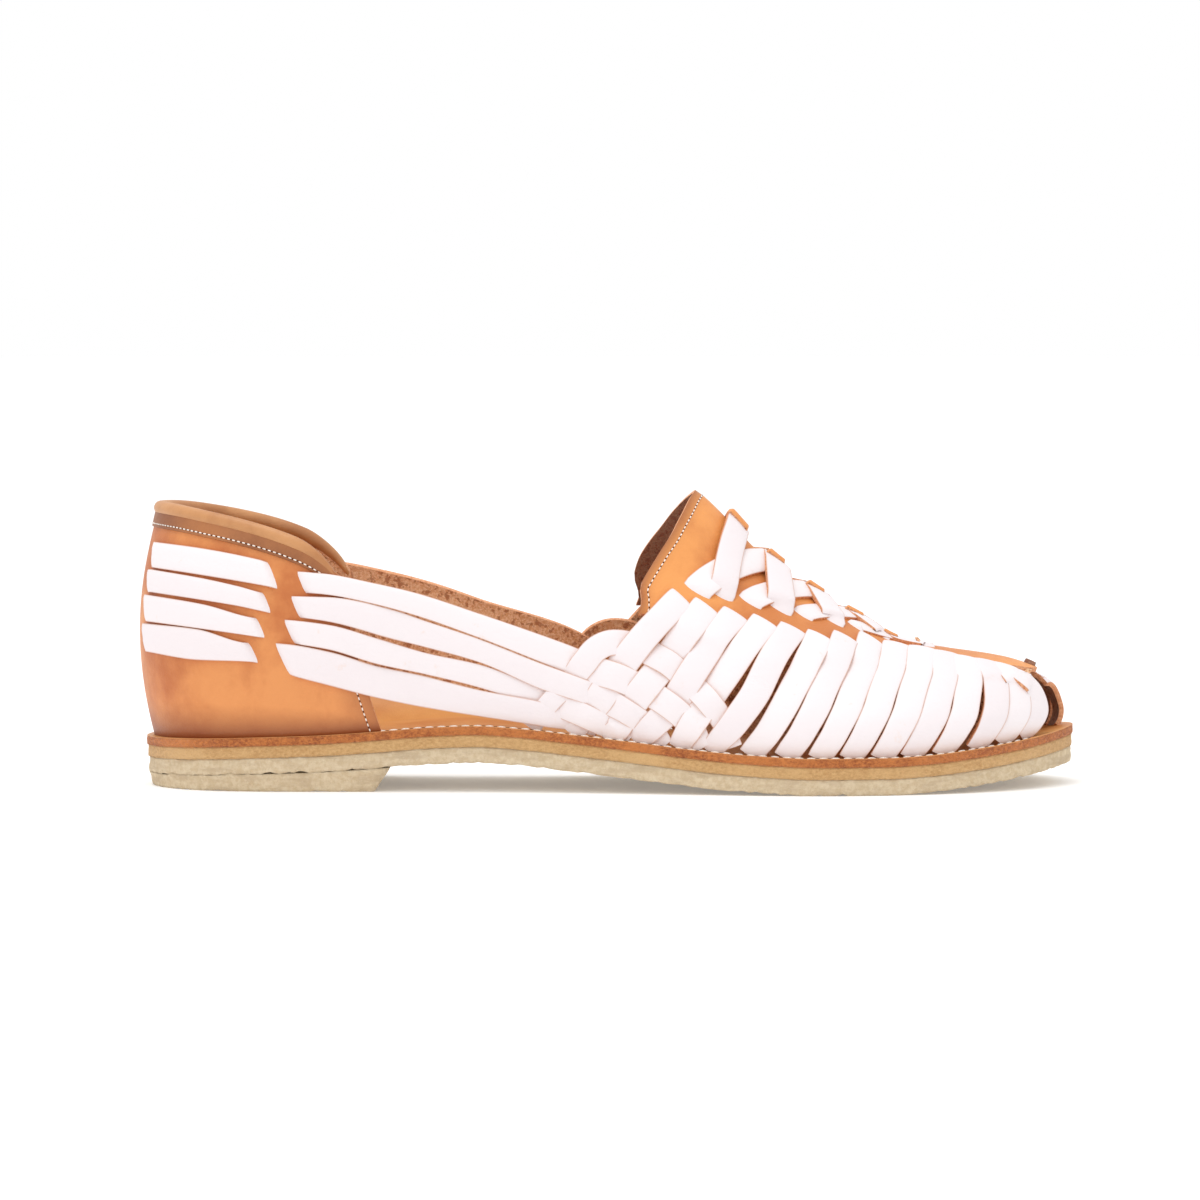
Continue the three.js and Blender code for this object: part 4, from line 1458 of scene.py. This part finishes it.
def camera():
    data = bpy.data.cameras.new("camera")
    seen_width = PHOTO_SIDE * LENGTH / GRID_STEPS
    data.sensor_width = 36
    data.lens = data.sensor_width * VIEW_DISTANCE / seen_width
    data.clip_end = 20
    aim_row = GRID_FLOOR - VIEW_AIM * GRID_INSTEP / INSTEP_HEIGHT
    data.shift_x = (PHOTO_SIDE / 2 - GRID_MIDDLE) / PHOTO_SIDE
    data.shift_y = (aim_row - PHOTO_SIDE / 2) / PHOTO_SIDE
    eye = bpy.data.objects.new("camera", data)
    bpy.context.scene.collection.objects.link(eye)
    target = place((0, 0, VIEW_AIM))
    back = Vector((0, -math.cos(VIEW_TILT), math.sin(VIEW_TILT)))
    eye.location = target + back * VIEW_DISTANCE * MM
    eye.rotation_euler = (-back).to_track_quat("-Z", "Y").to_euler()
    bpy.context.scene.camera = eye


def lamp(name, spot, size, power):
    data = bpy.data.lights.new(name, "AREA")
    data.shape = "RECTANGLE"
    data.size, data.size_y = size
    data.energy = power
    light = bpy.data.objects.new(name, data)
    bpy.context.scene.collection.objects.link(light)
    light.location = spot
    aim = LAMP_AIM - Vector(spot)
    light.rotation_euler = aim.to_track_quat("-Z", "Y").to_euler()


def studio():
    bm = bmesh.new()
    bmesh.ops.create_grid(bm, x_segments=1, y_segments=1, size=6)
    mesh = bpy.data.meshes.new("floor")
    bm.to_mesh(mesh)
    bm.free()
    floor = bpy.data.objects.new("floor", mesh)
    paint = Paint("floor", 0.8, Emission_Color=(1, 1, 1, 1), Emission_Strength=0.16)
    mesh.materials.append(paint.finish((0.9, 0.9, 0.9)))
    bpy.context.scene.collection.objects.link(floor)
    floor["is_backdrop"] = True
    world = bpy.data.worlds.new("studio")
    world.use_nodes = True
    world.node_tree.nodes["Background"].inputs[0].default_value = (1, 1, 1, 1)
    world.node_tree.nodes["Background"].inputs[1].default_value = 1.0
    bpy.context.scene.world = world
    bpy.context.scene.view_settings.view_transform = "Standard"
    lamp("overhead", (-0.15, -0.1, 1.3), (0.9, 0.7), 6.8)
    lamp("front", (-0.9, -1.5, 1.1), (0.6, 0.5), 2.2)


camera()
sole_pieces()
heel_lift_piece()
strips_piece()
heel_panel_piece()
instep_panel_piece()
binding_piece()
stitches_piece()
studio()

boxes = [[list(corner) for corner in box] for box in (CAD_BOX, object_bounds())]
